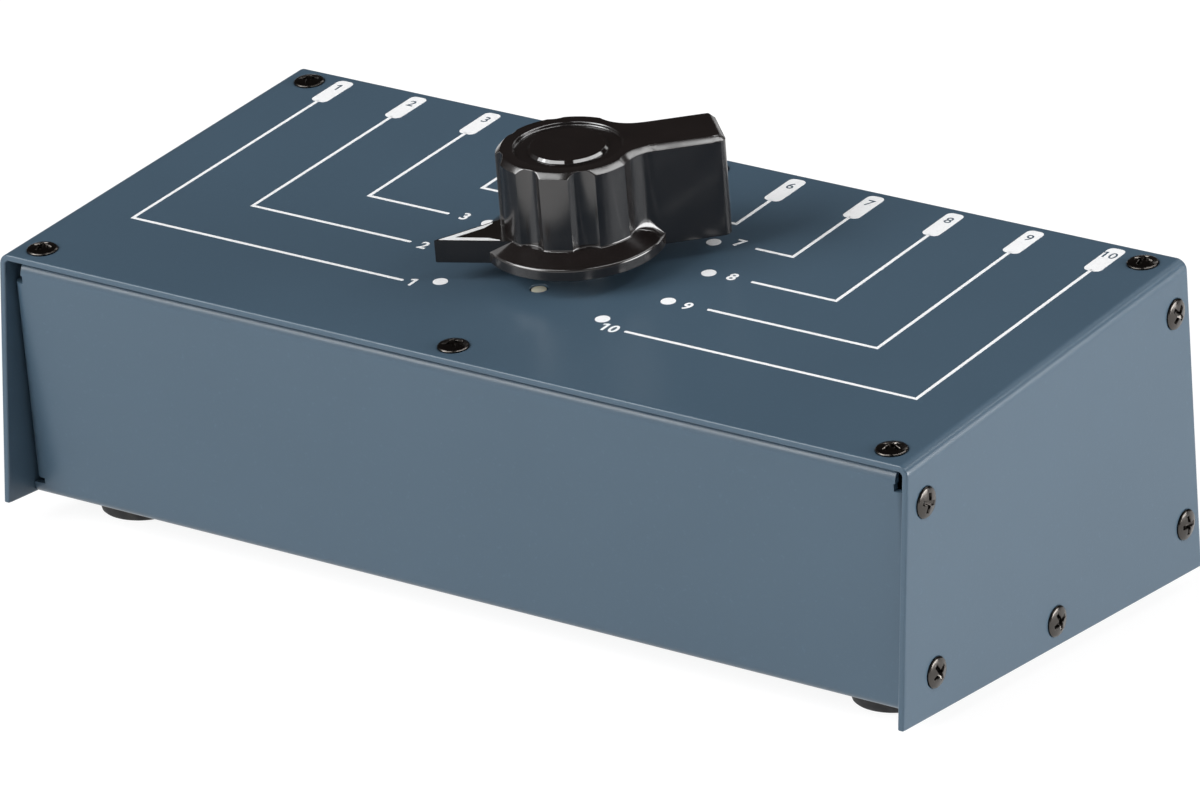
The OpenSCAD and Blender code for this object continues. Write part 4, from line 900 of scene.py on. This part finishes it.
class KnobShape:
    """The knob's plan and heights, in millimetres: x along the wing, angles from the wing."""

    def __init__(self, looks):
        self.barrel, self.top, self.gap = looks.barrel / MM, looks.top / MM, looks.gap / MM
        self.skirt, self.pointer = looks.skirt / MM, looks.pointer / MM
        self.length, self.half = looks.wing_length / MM, looks.wing_width / MM / 2
        self.tip = math.atan2(POINTER_HALF_WIDTH, self.pointer - POINTER_ROOT)
        self.flutes = np.radians(FLUTE_TURNS)
        self.axis = self.barrel - FLUTE_DEPTH + FLUTE_RADIUS
        self.edge = self.meeting(self.axis, FLUTE_RADIUS)
        axis = self.barrel - WING_FLUTE_DEPTH + WING_FLUTE_RADIUS
        self.fillet_y = self.half + WING_FLUTE_RADIUS
        self.fillet_x = math.sqrt(axis**2 - self.fillet_y**2)
        middle = math.atan2(self.fillet_y, self.fillet_x)
        self.fillet_turn = middle + self.meeting(axis, WING_FLUTE_RADIUS)

    def meeting(self, axis, radius):
        """Angle between a flute's middle and the place where it meets the barrel's outline."""
        return math.acos((axis**2 + self.barrel**2 - radius**2) / (2 * axis * self.barrel))

    def pointer_angle(self, radius):
        """Angle from the pointer's axis at which its side reaches a radius."""
        return math.asin(self.pointer * math.sin(self.tip) / radius) - self.tip

    def wing_depth(self, x, y):
        """How far a point lies inside the wing: a box whose far corners are round."""
        dx = x - (self.length - WING_ROUNDING)
        dy = abs(y) - (self.half - WING_ROUNDING)
        out = np.hypot(np.maximum(dx, 0), np.maximum(dy, 0)) + np.minimum(np.maximum(dx, dy), 0)
        return np.where(x < 0, -1.0, WING_ROUNDING - out)

    def flute_depth(self, x, y):
        """How far a point lies outside the nearest flute."""
        apart = np.hypot(x[..., None] - self.axis * np.cos(self.flutes),
                         y[..., None] - self.axis * np.sin(self.flutes))
        return np.min(apart, axis=-1) - FLUTE_RADIUS

    def barrel_depth(self, x, y):
        """How far a point lies inside the barrel, whose outline turns into the wing's sides
        along two hollow arcs: between an arc's ends only the arc counts."""
        hollow = np.hypot(x - self.fillet_x, abs(y) - self.fillet_y) - WING_FLUTE_RADIUS
        beside = (x > self.barrel * math.cos(self.fillet_turn)) & (x < self.fillet_x)
        beside &= abs(y) < self.fillet_y
        return np.where(beside, hollow, np.minimum(self.barrel - np.hypot(x, y), hollow))

    def inside(self, x, y):
        """True inside the fluted barrel or the wing."""
        barrel = (self.barrel_depth(x, y) > 0) & (self.flute_depth(x, y) > 0)
        return barrel | (self.wing_depth(x, y) > 0)

    def height(self, x, y):
        """Height of the upper face: the flat top less the edges. Each edge is a superellipse
        near a bevel, along the outlines of the unfluted barrel and of the wing, whichever
        stands higher; the flutes break the barrel's edge by a small quarter round."""
        def edge(depth, reach, power):
            """Drop of an edge over its reach."""
            short = np.clip(reach - depth, 0, reach)
            return reach - np.maximum(reach**power - short**power, 0) ** (1 / power)
        barrel = edge(self.barrel_depth(x, y), *BARREL_EDGE)
        barrel = barrel + edge(self.flute_depth(x, y), *FLUTE_EDGE)
        return self.top - np.minimum(barrel, edge(self.wing_depth(x, y), *WING_EDGE))

    def angles(self):
        """Angles of the columns: even steps, and every place where the outline has a corner."""
        across = np.linspace(0, np.pi / 2, CORNER_COLUMNS)
        corner_x = self.length - WING_ROUNDING + WING_ROUNDING * np.cos(across)
        corner_y = self.half - WING_ROUNDING + WING_ROUNDING * np.sin(across)
        wing = [self.fillet_turn, math.atan2(self.half, self.fillet_x),
                math.asin(self.half / self.skirt)]
        flutes = self.flutes + self.edge * np.array([[-1], [-0.5], [0], [0.5], [1]])
        foot = [math.pi - self.pointer_angle(r) for r in (self.skirt, self.barrel)]
        marks = np.concatenate(
            [np.arctan2(corner_y, corner_x), wing, flutes.ravel(), foot, [math.pi]])
        even = np.radians(np.arange(0, 360, COLUMN_STEP))
        both = np.mod(np.concatenate([even, marks, -marks]), 2 * np.pi)
        return np.unique(np.round(both, 6))

    def columns(self):
        """Angles, and for each the radii of the wall, the pointer and the flat top's end."""
        turn = self.angles()
        c, s = np.cos(turn), np.sin(turn)
        wall = farthest(np.full_like(turn, SEARCH_LOW), np.full_like(turn, SEARCH_HIGH),
                        lambda r: self.inside(r * c, r * s))
        flat = farthest(np.full_like(turn, RING_RADIUS + RING_MARGIN), wall,
                        lambda r: self.height(r * c, r * s) > self.top - FLAT_NEAR)
        away = abs(np.mod(turn, 2 * np.pi) - np.pi)
        lean = np.sin(np.minimum(self.tip + away, np.pi / 2))
        spread = math.atan2(POINTER_HALF_WIDTH, POINTER_ROOT)
        pointer = np.where(away < spread, self.pointer * math.sin(self.tip) / lean, 0.0)
        return turn, wall, pointer, flat


def knob_patches(shape):
    """Knob in one skin. Each angle has a profile: bore, underside, skirt rim, cone, the
    pointer's side and top, a hollow fillet, the wall, the top's edge, the flat, and the sunk
    ring. Where the wing or the pointer stands out past the skirt, the skirt's points fall
    together."""
    turn, wall, pointer, flat = shape.columns()
    base, rim, bore = shape.gap, shape.gap + SKIRT_RIM, shape.gap + INSERT_LENGTH
    one = np.ones_like(turn)
    pointed = pointer > np.maximum(wall, shape.barrel)
    solid = np.maximum(np.maximum(wall, pointer), shape.barrel)
    out = np.maximum(solid, shape.skirt)
    beside = np.minimum(turn, 2 * np.pi - turn)
    bulge = np.exp(-((beside - WING_FILLET_TURN) / FILLET_SPREAD) ** 2)
    fillet = np.minimum(FOOT_FILLET + WING_FILLET * bulge,
                        FILLET_LIMIT * np.maximum(shape.skirt - wall, 0))
    cone = np.where(pointed, solid, np.maximum(solid, wall + fillet))
    lip = SKIRT_LIP * np.clip((shape.skirt - cone) / LIP_RUN, 0, 1)
    slope = (SKIRT_RISE - SKIRT_RIM) / (shape.skirt - shape.barrel)

    def floor(radius):
        """Height of the cone, or of the pointer's top, at a radius."""
        low = shape.skirt - np.maximum(radius, shape.barrel)
        return base + np.where(pointed, SKIRT_RISE, SKIRT_RIM + slope * np.maximum(low, 0))
    rows = [
        (0 * one, bore * one), (INSERT_RADIUS * one, bore * one),
        (INSERT_RADIUS * one, base * one), (out - SKIRT_BEVEL, base * one),
        (out, (base + SKIRT_BEVEL) * one)]
    rows += [(out - inwards * lip, rim + up * lip) for inwards, up in LIP_ARC]
    rows += [
        (out - lip, rim + slope * lip),
        (cone, rim + slope * np.maximum(shape.skirt - cone, 0)), (cone, floor(cone))]
    first, last = floor(wall + fillet), floor(wall) + fillet
    middle = FILLET_HOLLOW * floor(wall) + (1 - FILLET_HOLLOW) * (first + last) / 2
    for part in np.linspace(0, 1, FILLET_STEPS):
        a, b, d = (1 - part) ** 2, 2 * part * (1 - part), part**2
        reach = (a + b * (1 - FILLET_HOLLOW) / 2) * fillet
        rows.append((wall + reach, a * first + b * middle + d * last))
    c, s = np.cos(turn), np.sin(turn)
    for bend in np.linspace(0, np.pi, EDGE_ROWS):
        radius = wall - (wall - flat) * (1 - math.cos(bend)) / 2
        rows.append((radius, shape.height(radius * c, radius * s)))
    rows += [((RING_RADIUS + away) * one, (shape.top - sink) * one) for away, sink in RING_WALL]
    radius, height = (np.stack(x) for x in zip(*rows))
    return [grid(np.stack([radius * c, radius * s, height], -1), True)]


def cap_patches(shape):
    """Cap: a low disc with a broad bevel, as a surface of revolution."""
    low = shape.top - RING_DEPTH - CAP_ROOT
    bevel = [(CAP_RADIUS - inset, shape.top - sink) for inset, sink in CAP_BEVEL]
    return [revolve([(0, low), (CAP_RADIUS, low), *bevel, (0, shape.top)], CAP_SIDES)]


INK_ROOT = 0.02
POINTER_LINE_INSET, POINTER_LINE_WIDTH, POINTER_LINE_POINT = 0.35, 1.3, 0.35
POINTER_LINE_END, POINTER_LINE_TAPER = 17.3, 19.6


def pointer_line_patches(shape, build):
    """White lines along both upper edges of the pointer: each is a thin solid whose outer side
    keeps its inset, whose inner side keeps its width and tapers away at the end. The two join
    at the tip."""
    lean, taper, end = math.tan(shape.tip), POINTER_LINE_TAPER, POINTER_LINE_END
    outer_tip, inner_tip = (shape.pointer - inset / math.sin(shape.tip) for inset in (
        POINTER_LINE_INSET, POINTER_LINE_INSET + POINTER_LINE_WIDTH))
    end_y = (outer_tip - end) * lean
    outer = np.array([(outer_tip, 0.0), (taper, (outer_tip - taper) * lean), (end, end_y)])
    inner = np.array([(inner_tip, 0.0), (taper, (inner_tip - taper) * lean),
                      (end, end_y - POINTER_LINE_POINT)])
    low = shape.gap + SKIRT_RISE - INK_ROOT
    patches = []
    for side in (-1, 1):
        line, _, close = strip(outer * (-1, side), inner * (-1, side), low, low + build)
        patches += [line, close]
    return patches


class SWITCHBOX_OT_knob(bpy.types.Operator):
    """Make the fluted, winged knob, its cap and its pointer's lines"""
    bl_idname = "switchbox.knob"
    bl_label = "Knob"

    def execute(self, context):
        place = case_frame(context).knob_world
        shape = KnobShape(context.scene.switchbox_knob)
        make_piece("knob_moulding", to_frame(knob_patches(shape), place),
                   "knob_black", "selector", ("knob_body",), 28)
        make_piece("knob_disc", to_frame(cap_patches(shape), place),
                   "knob_black", "selector", ("knob_cap",), 28, "cap_black")
        build = context.scene.switchbox_print.build / MM + INK_ROOT
        make_piece("pointer_lines", to_frame(pointer_line_patches(shape, build), place),
                   "rotor_white", "selector", finish="print_ink")
        return {"FINISHED"}


# --- Print ---

DOT_SIDES, TAG_ROUNDING, TAG_OVERLAP = 48, 1.35, 0.6
LABEL_WEIGHT, TAG_LABEL_HEIGHT, TAG_LABEL_WEIGHT, TAG_LABEL_LIFT = 0.022, 2.8, 0.006, 0.02
TAG_COLUMNS = [COLUMN_PITCH * k for k in (-5, -4, -3, -2, -1, 1, 2, 3, 4, 5)]
FLAG = ((0.0, 0.0), (-0.25, -0.13), (-0.25, -0.28), (0.0, -0.19))


def route_paths():
    """The ten routes: from beside the dial outwards to the column, then back to its tag."""
    paths = []
    for n, (corner, end) in enumerate(zip(ROUTE_CORNERS, ROUTE_ENDS)):
        for side in (-1, 1):
            column = side * COLUMN_PITCH * (5 - n)
            paths.append([
                (side * end, corner), (column, corner), (column, TAG_FRONT + TAG_OVERLAP)])
    return paths


def dial_places():
    """(u, v) of the dots, clockwise in even steps about the knob's axis."""
    turn = np.radians(DIAL_START + DIAL_STEP * np.arange(DIAL_COUNT))
    return np.stack([DOT_CIRCLE * np.sin(turn), DIAL_V + DOT_CIRCLE * np.cos(turn)], 1)


def number_patches(text, height, weight, low, high):
    """A number as thin solids: the font's outline is made a mesh, then scaled to its height
    and centred. A leading 1 gets a flag, a small slanting plate against its stem."""
    curve = bpy.data.curves.new("number", "FONT")
    curve.body = text
    curve.extrude = 0.5
    curve.offset = weight
    curve.resolution_u = 4
    holder = bpy.data.objects.new("number", curve)
    bpy.context.scene.collection.objects.link(holder)
    depsgraph = bpy.context.evaluated_depsgraph_get()
    mesh = bpy.data.meshes.new_from_object(holder.evaluated_get(depsgraph))
    points = read(mesh.vertices, "co", 3, np.float32).astype(float)
    corners = read(mesh.loops, "vertex_index")
    start, total = (read(mesh.polygons, field)[:, None] for field in ("loop_start", "loop_total"))
    quads = corners[start + np.minimum(np.arange(4), total - 1)]
    bpy.data.objects.remove(holder)
    bpy.data.curves.remove(curve)
    bpy.data.meshes.remove(mesh)
    least, most = points.min(0), points.max(0)
    size = height / (most[1] - least[1])
    points[:, :2] = (points[:, :2] - (least[:2] + most[:2]) / 2) * size
    points[:, 2] = np.where(points[:, 2] > 0, high, low)
    patches = [(points, quads.astype(np.int64))]
    if text.startswith("1"):
        corner = np.array([points[:, 0].min(), height / 2])
        patches.append(plate(corner + np.array(FLAG) * height, low, high))
    return patches


class SWITCHBOX_OT_print(bpy.types.Operator):
    """Print the routes, dots, tags and numbers on the top"""
    bl_idname = "switchbox.print"
    bl_label = "Print"

    def execute(self, context):
        case = case_frame(context)
        looks = context.scene.switchbox_print
        low, high = -INK_ROOT, looks.build / MM
        pieces = {name: [] for name in ("routes", "dots", "tags", "numbers")}
        for path in route_paths():
            pieces["routes"] += to_frame(stroke(path, looks.line / MM, low, high), case.world)
        turn = np.arange(DOT_SIDES) * 2 * np.pi / DOT_SIDES
        disc = plate(np.stack([np.cos(turn), np.sin(turn)], 1) * looks.dot / MM / 2, low, high)
        for u, v in dial_places():
            pieces["dots"] += to_frame([disc], case.on_top, u, v)
        outline = rounded_box(looks.tag / MM, TAG_REAR - TAG_FRONT, TAG_ROUNDING)
        for u in TAG_COLUMNS:
            pieces["tags"] += to_frame(
                [plate(outline, low, high)], case.on_top, u, (TAG_FRONT + TAG_REAR) / 2)
        for n, (u, v) in enumerate(LABELS, 1):
            number = number_patches(str(n), looks.label / MM, LABEL_WEIGHT, low, high)
            pieces["numbers"] += to_frame(number, case.on_top, u, v)
        for name, patches in pieces.items():
            make_piece(f"print_{name}", patches, "rotor_white", finish="print_ink")
        dark = []
        for n, u in enumerate(TAG_COLUMNS, 1):
            number = number_patches(
                str(n), TAG_LABEL_HEIGHT, TAG_LABEL_WEIGHT, low, high + TAG_LABEL_LIFT)
            dark += to_frame(number, case.on_top, u, TAG_LABEL_V)
        make_piece("print_tag_numbers", dark, "case_paint", finish="tag_ink")
        return {"FINISHED"}


# --- Feet ---

FOOT_PROFILE = (
    (1.75, 2.7), (4.0, 2.7), (4.0, 0.35), (4.3, 0.06), (4.7, 0.0), (7.3, 0.0), (8.0, 0.12),
    (8.45, 0.5), (8.62, 1.0), (9.3, 4.3), (9.5, 4.75), (9.5, 5.0), (1.75, 5.0), (1.75, 2.7))


class SWITCHBOX_OT_feet(bpy.types.Operator):
    """Make the four rubber feet"""
    bl_idname = "switchbox.feet"
    bl_label = "Feet"

    def execute(self, context):
        points, quads = revolve(FOOT_PROFILE)
        for place in ("front_left", "front_right", "rear_left", "rear_right"):
            low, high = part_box(f"foot_{place}")
            middle = np.array([(low.x + high.x) / 2, (low.y + high.y) / 2, low.z])
            make_piece(f"rubber_foot_{place}", [(points * MM + middle, quads)], "foot_rubber",
                       stands_for=(f"foot_{place}",), sharp=50)
        return {"FINISHED"}


# --- Carried-over nodes ---

class SWITCHBOX_OT_finishes(bpy.types.Operator):
    """Give every node of the frame its finish"""
    bl_idname = "switchbox.finishes"
    bl_label = "Finishes of the nodes"

    def execute(self, context):
        for name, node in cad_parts.items():
            node.material_slots[0].material = finish_of(SLOTS[name])
        return {"FINISHED"}


# --- Stage ---

CAMERA_PLACE = (1.025011, -1.481383, 0.678552)
CAMERA_RIGHT = (0.82145842, 0.57025443, 0.00399265)
CAMERA_DOWN = (0.19460604, -0.27373755, -0.94191095)
CAMERA_FORWARD = (-0.53603596, 0.77451768, -0.33583898)
CAMERA_LENS, CAMERA_SENSOR, CAMERA_CLIP = 259.44, 36.0, (0.01, 100)
FLOOR_REACH, FLOOR_LEVEL = 12.0, -0.0002
FLOOR_WHITE, FLOOR_SHADOW = 0.9, (0.17, 0.17, 0.17)
FRONT_DIRECTION, FRONT_SPAN, RISE_SPAN = (-0.174, -0.985, 0.0), (0.0, 0.6), (0.4, 0.75)
LAMP_MIDDLE = (0, 0, 0.05)
# Both ends as azimuth and elevation, distance, width, and the setting with the radiance
SOFTBOXES = {
    "key_softbox": ((-101, 27), (-141, 27), 2.2, 1.14, "key"),
    "side_softbox": ((2, 12), (42, 12), 2.2, 0.82, "side"),
    "left_strip_front": ((-79, 55.5), (-126, 45), 1.5, 0.16, "strips"),
    "left_strip_rear": ((-126, 45), (-156, 33), 1.5, 0.16, "strips"),
    "right_strip_front": ((-45, 58), (11, 53), 1.5, 0.16, "strips"),
    "right_strip_rear": ((11, 53), (58, 37), 1.5, 0.16, "strips"),
    "rear_softbox": ((87, 22), (87, 48), 1.6, 0.4, "rear"),
}


def seen_ray(tree):
    """One for rays of the camera, of reflections and of things seen through, else nought."""
    path = add_node(tree, "LightPath", {}).outputs
    total = path["Is Camera Ray"]
    for kind in ("Is Glossy Ray", "Is Transmission Ray"):
        add = add_node(tree, "Math", {0: total, 1: path[kind]}, operation="ADD", use_clamp=True)
        total = add.outputs[0]
    return total


def studio_floor(looks):
    """A flat sheet whose four corners are a grid of two by two; it gives plain bounce light,
    and shows white, less a part of the object's shadow, to the camera and in reflections."""
    x = np.array([-1.0, 1.0]) * FLOOR_REACH
    points = np.stack(np.meshgrid(x, x, [FLOOR_LEVEL], indexing="ij"), -1).reshape(2, 2, 3)
    corners, quads = grid(points)
    mesh = bpy.data.meshes.new("floor")
    mesh.from_pydata(corners.tolist(), [], quads[:, ::-1].tolist())
    material = bpy.data.materials.new("floor")
    material.use_nodes = True
    tree = material.node_tree
    tree.nodes.remove(tree.nodes["Principled BSDF"])
    bounce, shadow = (add_node(tree, "BsdfDiffuse", {"Color": (*colour, 1)}).outputs[0]
                      for colour in (looks.floor, FLOOR_SHADOW))
    white = add_node(tree, "Emission", {"Strength": FLOOR_WHITE}).outputs[0]
    shown = add_node(tree, "AddShader", {0: shadow, 1: white}).outputs[0]
    mix = add_node(tree, "MixShader", {0: seen_ray(tree), 1: bounce, 2: shown})
    tree.links.new(mix.outputs[0], tree.nodes["Material Output"].inputs["Surface"])
    mesh.materials.append(material)
    floor = bpy.data.objects.new("floor", mesh)
    bpy.context.scene.collection.objects.link(floor)


def studio_world(looks):
    """Surroundings: pale to the camera; else bright in front up to a middle height, and dim
    behind and overhead. The front share grows with the direction's reach towards the front,
    and the low share falls with its rise."""
    world = bpy.data.worlds.new("studio")
    world.use_nodes = True
    tree = world.node_tree
    tree.nodes.clear()
    place = add_node(tree, "TexCoord", {}).outputs["Generated"]
    rise = add_node(tree, "SeparateXYZ", {"Vector": place}).outputs["Z"]
    towards = add_node(tree, "VectorMath", {0: place, 1: FRONT_DIRECTION}, operation="DOT_PRODUCT")
    ahead = map_range(tree, towards.outputs["Value"], FRONT_SPAN, (0, 1), "SMOOTHSTEP")
    low = map_range(tree, rise, RISE_SPAN, (1, 0), "SMOOTHSTEP")
    share = add_node(tree, "Math", {0: ahead, 1: low}, operation="MULTIPLY").outputs[0]
    levels = {"Factor": share, 6: (*looks.back, 1), 7: (looks.front, looks.front, looks.front, 1)}
    level = add_node(tree, "Mix", levels, data_type="RGBA").outputs[2]
    soft = add_node(tree, "Background", {"Color": level}).outputs[0]
    pale = add_node(tree, "Background", {}).outputs[0]
    seen = add_node(tree, "LightPath", {}).outputs["Is Camera Ray"]
    mix = add_node(tree, "MixShader", {0: seen, 1: soft, 2: pale}).outputs[0]
    add_node(tree, "OutputWorld", {"Surface": mix})
    bpy.context.scene.world = world


def softbox(name, first, last, distance, width, level):
    """An area lamp whose middle line joins two directions, each an azimuth and an elevation,
    at a distance from the object's middle; it faces the object, and its level is its
    radiance."""
    azimuth, elevation = np.radians([first, last]).T
    ends = np.stack([np.cos(elevation) * np.cos(azimuth), np.cos(elevation) * np.sin(azimuth),
                     np.sin(elevation)], 1) * distance
    middle, along = ends.mean(0), ends[1] - ends[0]
    length = float(np.linalg.norm(along))
    out = middle / np.linalg.norm(middle)
    right = along - out * (along @ out)
    right /= np.linalg.norm(right)
    lamp = bpy.data.lights.new(name, "AREA")
    lamp.shape = "RECTANGLE"
    lamp.size, lamp.size_y = length, width
    lamp.energy = level * math.pi * length * width
    holder = bpy.data.objects.new(name, lamp)
    turn = Matrix(np.stack([right, np.cross(out, right), out], 1).tolist()).to_4x4()
    holder.matrix_world = Matrix.Translation((middle + LAMP_MIDDLE).tolist()) @ turn
    bpy.context.scene.collection.objects.link(holder)


class SWITCHBOX_OT_stage(bpy.types.Operator):
    """Set the floor, the surroundings, the lamps and the camera"""
    bl_idname = "switchbox.stage"
    bl_label = "Stage"

    def execute(self, context):
        looks = context.scene.switchbox_stage
        studio_floor(looks)
        studio_world(looks)
        for name, (*shape, setting) in SOFTBOXES.items():
            softbox(name, *shape, getattr(looks, setting))
        camera = bpy.data.objects.new("camera", bpy.data.cameras.new("camera"))
        camera.data.sensor_width = CAMERA_SENSOR
        camera.data.lens = CAMERA_LENS
        camera.data.clip_start, camera.data.clip_end = CAMERA_CLIP
        axes = np.stack([CAMERA_RIGHT, -np.array(CAMERA_DOWN), -np.array(CAMERA_FORWARD)], 1)
        camera.matrix_world = Matrix.Translation(CAMERA_PLACE) @ Matrix(axes.tolist()).to_4x4()
        context.scene.collection.objects.link(camera)
        context.scene.camera = camera
        context.scene.view_settings.view_transform = "Standard"
        return {"FINISHED"}


# --- Panel and registration ---

OPERATORS = (
    SWITCHBOX_OT_stage, SWITCHBOX_OT_finishes, SWITCHBOX_OT_cover, SWITCHBOX_OT_walls,
    SWITCHBOX_OT_screws, SWITCHBOX_OT_knob, SWITCHBOX_OT_print, SWITCHBOX_OT_feet,
)
SETTINGS = (
    ("switchbox_case", CaseLooks), ("switchbox_knob", KnobLooks), ("switchbox_print", PrintLooks),
    ("switchbox_screws", ScrewLooks), ("switchbox_stage", StageLooks),
)


class SWITCHBOX_PT_panel(bpy.types.Panel):
    """Lists the switch box's settings and steps"""
    bl_idname = "SWITCHBOX_PT_panel"
    bl_label = "Switch box"
    bl_space_type = "VIEW_3D"
    bl_region_type = "UI"
    bl_category = "Switch box"

    def draw(self, context):
        for name, group in SETTINGS:
            box = self.layout.box()
            for field in group.__annotations__:
                box.prop(getattr(context.scene, name), field)
        for operator in OPERATORS:
            self.layout.operator(operator.bl_idname)


def register():
    """Registers the settings, the operators and the panel."""
    for name, group in SETTINGS:
        bpy.utils.register_class(group)
        setattr(bpy.types.Scene, name, PointerProperty(type=group))
    for cls in (*OPERATORS, SWITCHBOX_PT_panel):
        bpy.utils.register_class(cls)


def unregister():
    """Takes back what register made."""
    for cls in (SWITCHBOX_PT_panel, *OPERATORS[::-1]):
        bpy.utils.unregister_class(cls)
    for name, group in SETTINGS[::-1]:
        delattr(bpy.types.Scene, name)
        bpy.utils.unregister_class(group)


def main():
    """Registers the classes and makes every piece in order."""
    register()
    for operator in OPERATORS:
        group, step = operator.bl_idname.split(".")
        getattr(getattr(bpy.ops, group), step)()


if __name__ == "__main__":
    main()
